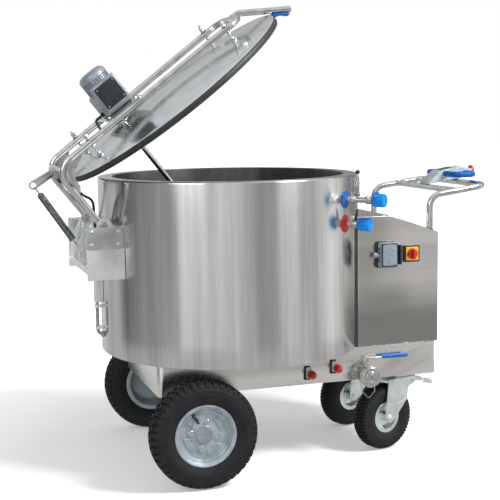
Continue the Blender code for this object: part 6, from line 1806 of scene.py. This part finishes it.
def dress_inlets():
    """Two wall inlets with plugs, and the tap lever on the red one."""
    r = 0.011
    for z, reach, label, tint in (
        (1.015, 0.14, "blue", DEEP_BLUE), (RED_INLET_Z, RED_REACH, "red", CRIMSON)
    ):
        place = wall_frame(INLET_DEGREES, z)
        rose = [
            (r + 0.0002, 0), (0.0325, 0), (0.033, 0.0006), (0.033, 0.0026), (0.032, 0.0034),
            (0.026, 0.0052)
        ]
        rose += [(0.02, 0.0082), (0.018, 0.0094), (0.014, 0.01), (r + 0.0002, 0.01)]
        done("rosette_" + label, turned(rose, place, 64, ring=True), tint, "cart", "inlet_" + label)
        seat = reach - 0.024
        pipe = [
            (0.009, 0), (r, 0), (r, seat - 0.032), (r + 0.0035, seat - 0.03), (r + 0.004, seat - 0.0285)
        ]
        pipe += [(r + 0.004, seat - 0.018), (r + 0.0032, seat - 0.0172), (r + 0.004, seat - 0.0164)]
        pipe += [
            (r + 0.004, seat - 0.0055), (r + 0.0032, seat - 0.0045), (r, seat - 0.003), (r, seat + 0.01)
        ]
        pipe += [(r + 0.005, seat + 0.013), (r + 0.005, seat + 0.0195), (0.009, seat + 0.0195)]
        parts = [turned(pipe, place, 48, ring=True)]
        if label == "blue":
            nut = turned([(0.0148, 0.026), (0.016, 0.028), (0.016, 0.042), (0.0148, 0.044)], Matrix(), 6)
            parts.append(settle(softened(nut, 0.0008, 2, 25), place))
        done("inlet_pipe_" + label, joined(*parts), FORGED, "cart", "inlet_" + label)
        c = 0.025
        cap = [
            (0.0165, 0.0), (c - 0.004, 0.0), (c - 0.0012, 0.0022), (c, 0.006), (c, 0.016),
            (c - 0.0016, 0.0172)
        ]
        cap += [(c - 0.0016, 0.02), (c, 0.0212), (c, 0.04), (c - 0.0016, 0.0436), (c - 0.0052, 0.0456)]
        cap += [(0.014, 0.046), (0.0125, 0.0446), (0.003, 0.044)]
        seat_place = place @ around(0, 0, seat)
        parts = [turned(cap, Matrix(), 60)]
        for k in range(10):
            rib = block((c - 0.003, -0.0013, 0.0225), (c + 0.0004, 0.0013, 0.0405), 0.0008, 2)
            parts.append(settle(rib, Matrix.Rotation(2 * pi * k / 10, 4, "Z")))
        if label == "blue":
            pin = [(0.008, 0.0), (0.008, 0.0085), (0.0068, 0.0108), (0.004, 0.0112)]
            parts.append(turned(pin, facing((0, 1, 0), (0, c - 0.004, 0.012)), 24))
            ring = [(0.0092, 0.0), (0.0092, 0.003), (0.008, 0.0038)]
            parts.append(turned(ring, facing((0, 1, 0), (0, c - 0.002, 0.012)), 24))
        done("inlet_plug_" + label, settle(joined(*parts), seat_place), AZURE, "cart", "inlet_cap_" + label)
    place = wall_frame(INLET_DEGREES, RED_INLET_Z)
    h = RED_REACH - 0.024 - 0.015
    seat = r + 0.0043
    stem = [(0.004, 0), (0.0046, 0.001), (0.0046, 0.006), (0.0036, 0.0075), (0.0036, 0.01)]
    stem = turned(stem, facing((0, 1, 0), (0, seat, h)), 24)
    lever = capsule((seat + 0.006, h), (seat + 0.036, h + 0.006), 0.0042, 0.003)
    lever = softened(plate(lever, -0.003, 0.003, "YZ"), 0.001, 2, 40)
    done("tap_lever", settle(joined(stem, lever), place), BLACK_PLASTIC, "inlet_tap", "inlet_tap")


def dress_latch():
    """Toggle latch on the tank wall."""
    place = wall_frame(-35, 1.012)
    t, lug = 0.003, 0.013
    base = softened(plate(box_outline(0, 0.04, 0.017, 0.04, 0.004), 0, t, "XY"), 0.0006, 2)
    keeper = block((-0.01, 0.066, t - 0.001), (0.01, 0.076, 0.008), 0.0012, 3)
    parts = [base, keeper]
    ear = flat_arcs([(0.0, t - 0.001), (0.024, t - 0.001), (0.018, 0.018), (0.006, 0.018)], 0.003, 3)
    for x in (-lug, lug):
        parts.append(softened(plate(ear, x - 0.0015, x + 0.0015, "YZ"), 0.0004, 1))
    rivet = [(0.0032, t - 0.0005), (0.003, t + 0.0006), (0.0018, t + 0.0013)]
    parts += [turned(rivet, around(a, b), 20) for a in (-0.011, 0.011) for b in (0.032, 0.054)]
    done("latch_plate", settle(joined(*parts), place), FORGED, "cart", "latch_base")
    pin = Vector((0, 0.012, 0.011))
    wide = Vector((lug - 0.0018, 0, 0))
    parts = [bar(pin - wide, pin + wide, 0.005, 24, 0.0006)]
    arm = plate(box_outline(0, 0.051, 0.008, 0.041, 0.003), pin.z - 0.002, pin.z + 0.002, "XY")
    parts.append(softened(arm, 0.0006, 2))
    for x in (-0.0072, 0.0072):
        parts.append(
            block((x - 0.0008, pin.y, pin.z - 0.002), (x + 0.0008, 0.08, pin.z + 0.0055), 0.0005, 1)
        )
    bail = [(0, 0.055, pin.z), (0, 0.054, pin.z + 0.04), (0, 0.06, pin.z + 0.052)]
    parts.append(tube(bail, 0.0013, 0.006, sides=3))
    done("toggle_arm", settle(joined(*parts), place), FORGED, "latch_arm", "latch_arm")
    knob = [
        (0.0055, 0.0), (0.0066, 0.0012), (0.0085, 0.0055), (0.0084, 0.009), (0.0072, 0.0128),
        (0.004, 0.0148)
    ]
    knob = turned(knob, place @ facing((0, 1, 0), (0, 0.09, pin.z)), 32)
    done("toggle_knob", knob, BLACK_PLASTIC, "latch_arm", "latch_arm")


place_camera()
light_studio()
lay_floor()
dress_tank()
dress_chassis()
dress_drive_axle()
dress_drive_wheels()
dress_castors()
dress_milk_line()
dress_drains()
dress_cabinet()
dress_switches()
dress_handle()
dress_bracket()
dress_cables()
dress_spring()
dress_lid()
dress_motor()
dress_inlets()
dress_latch()
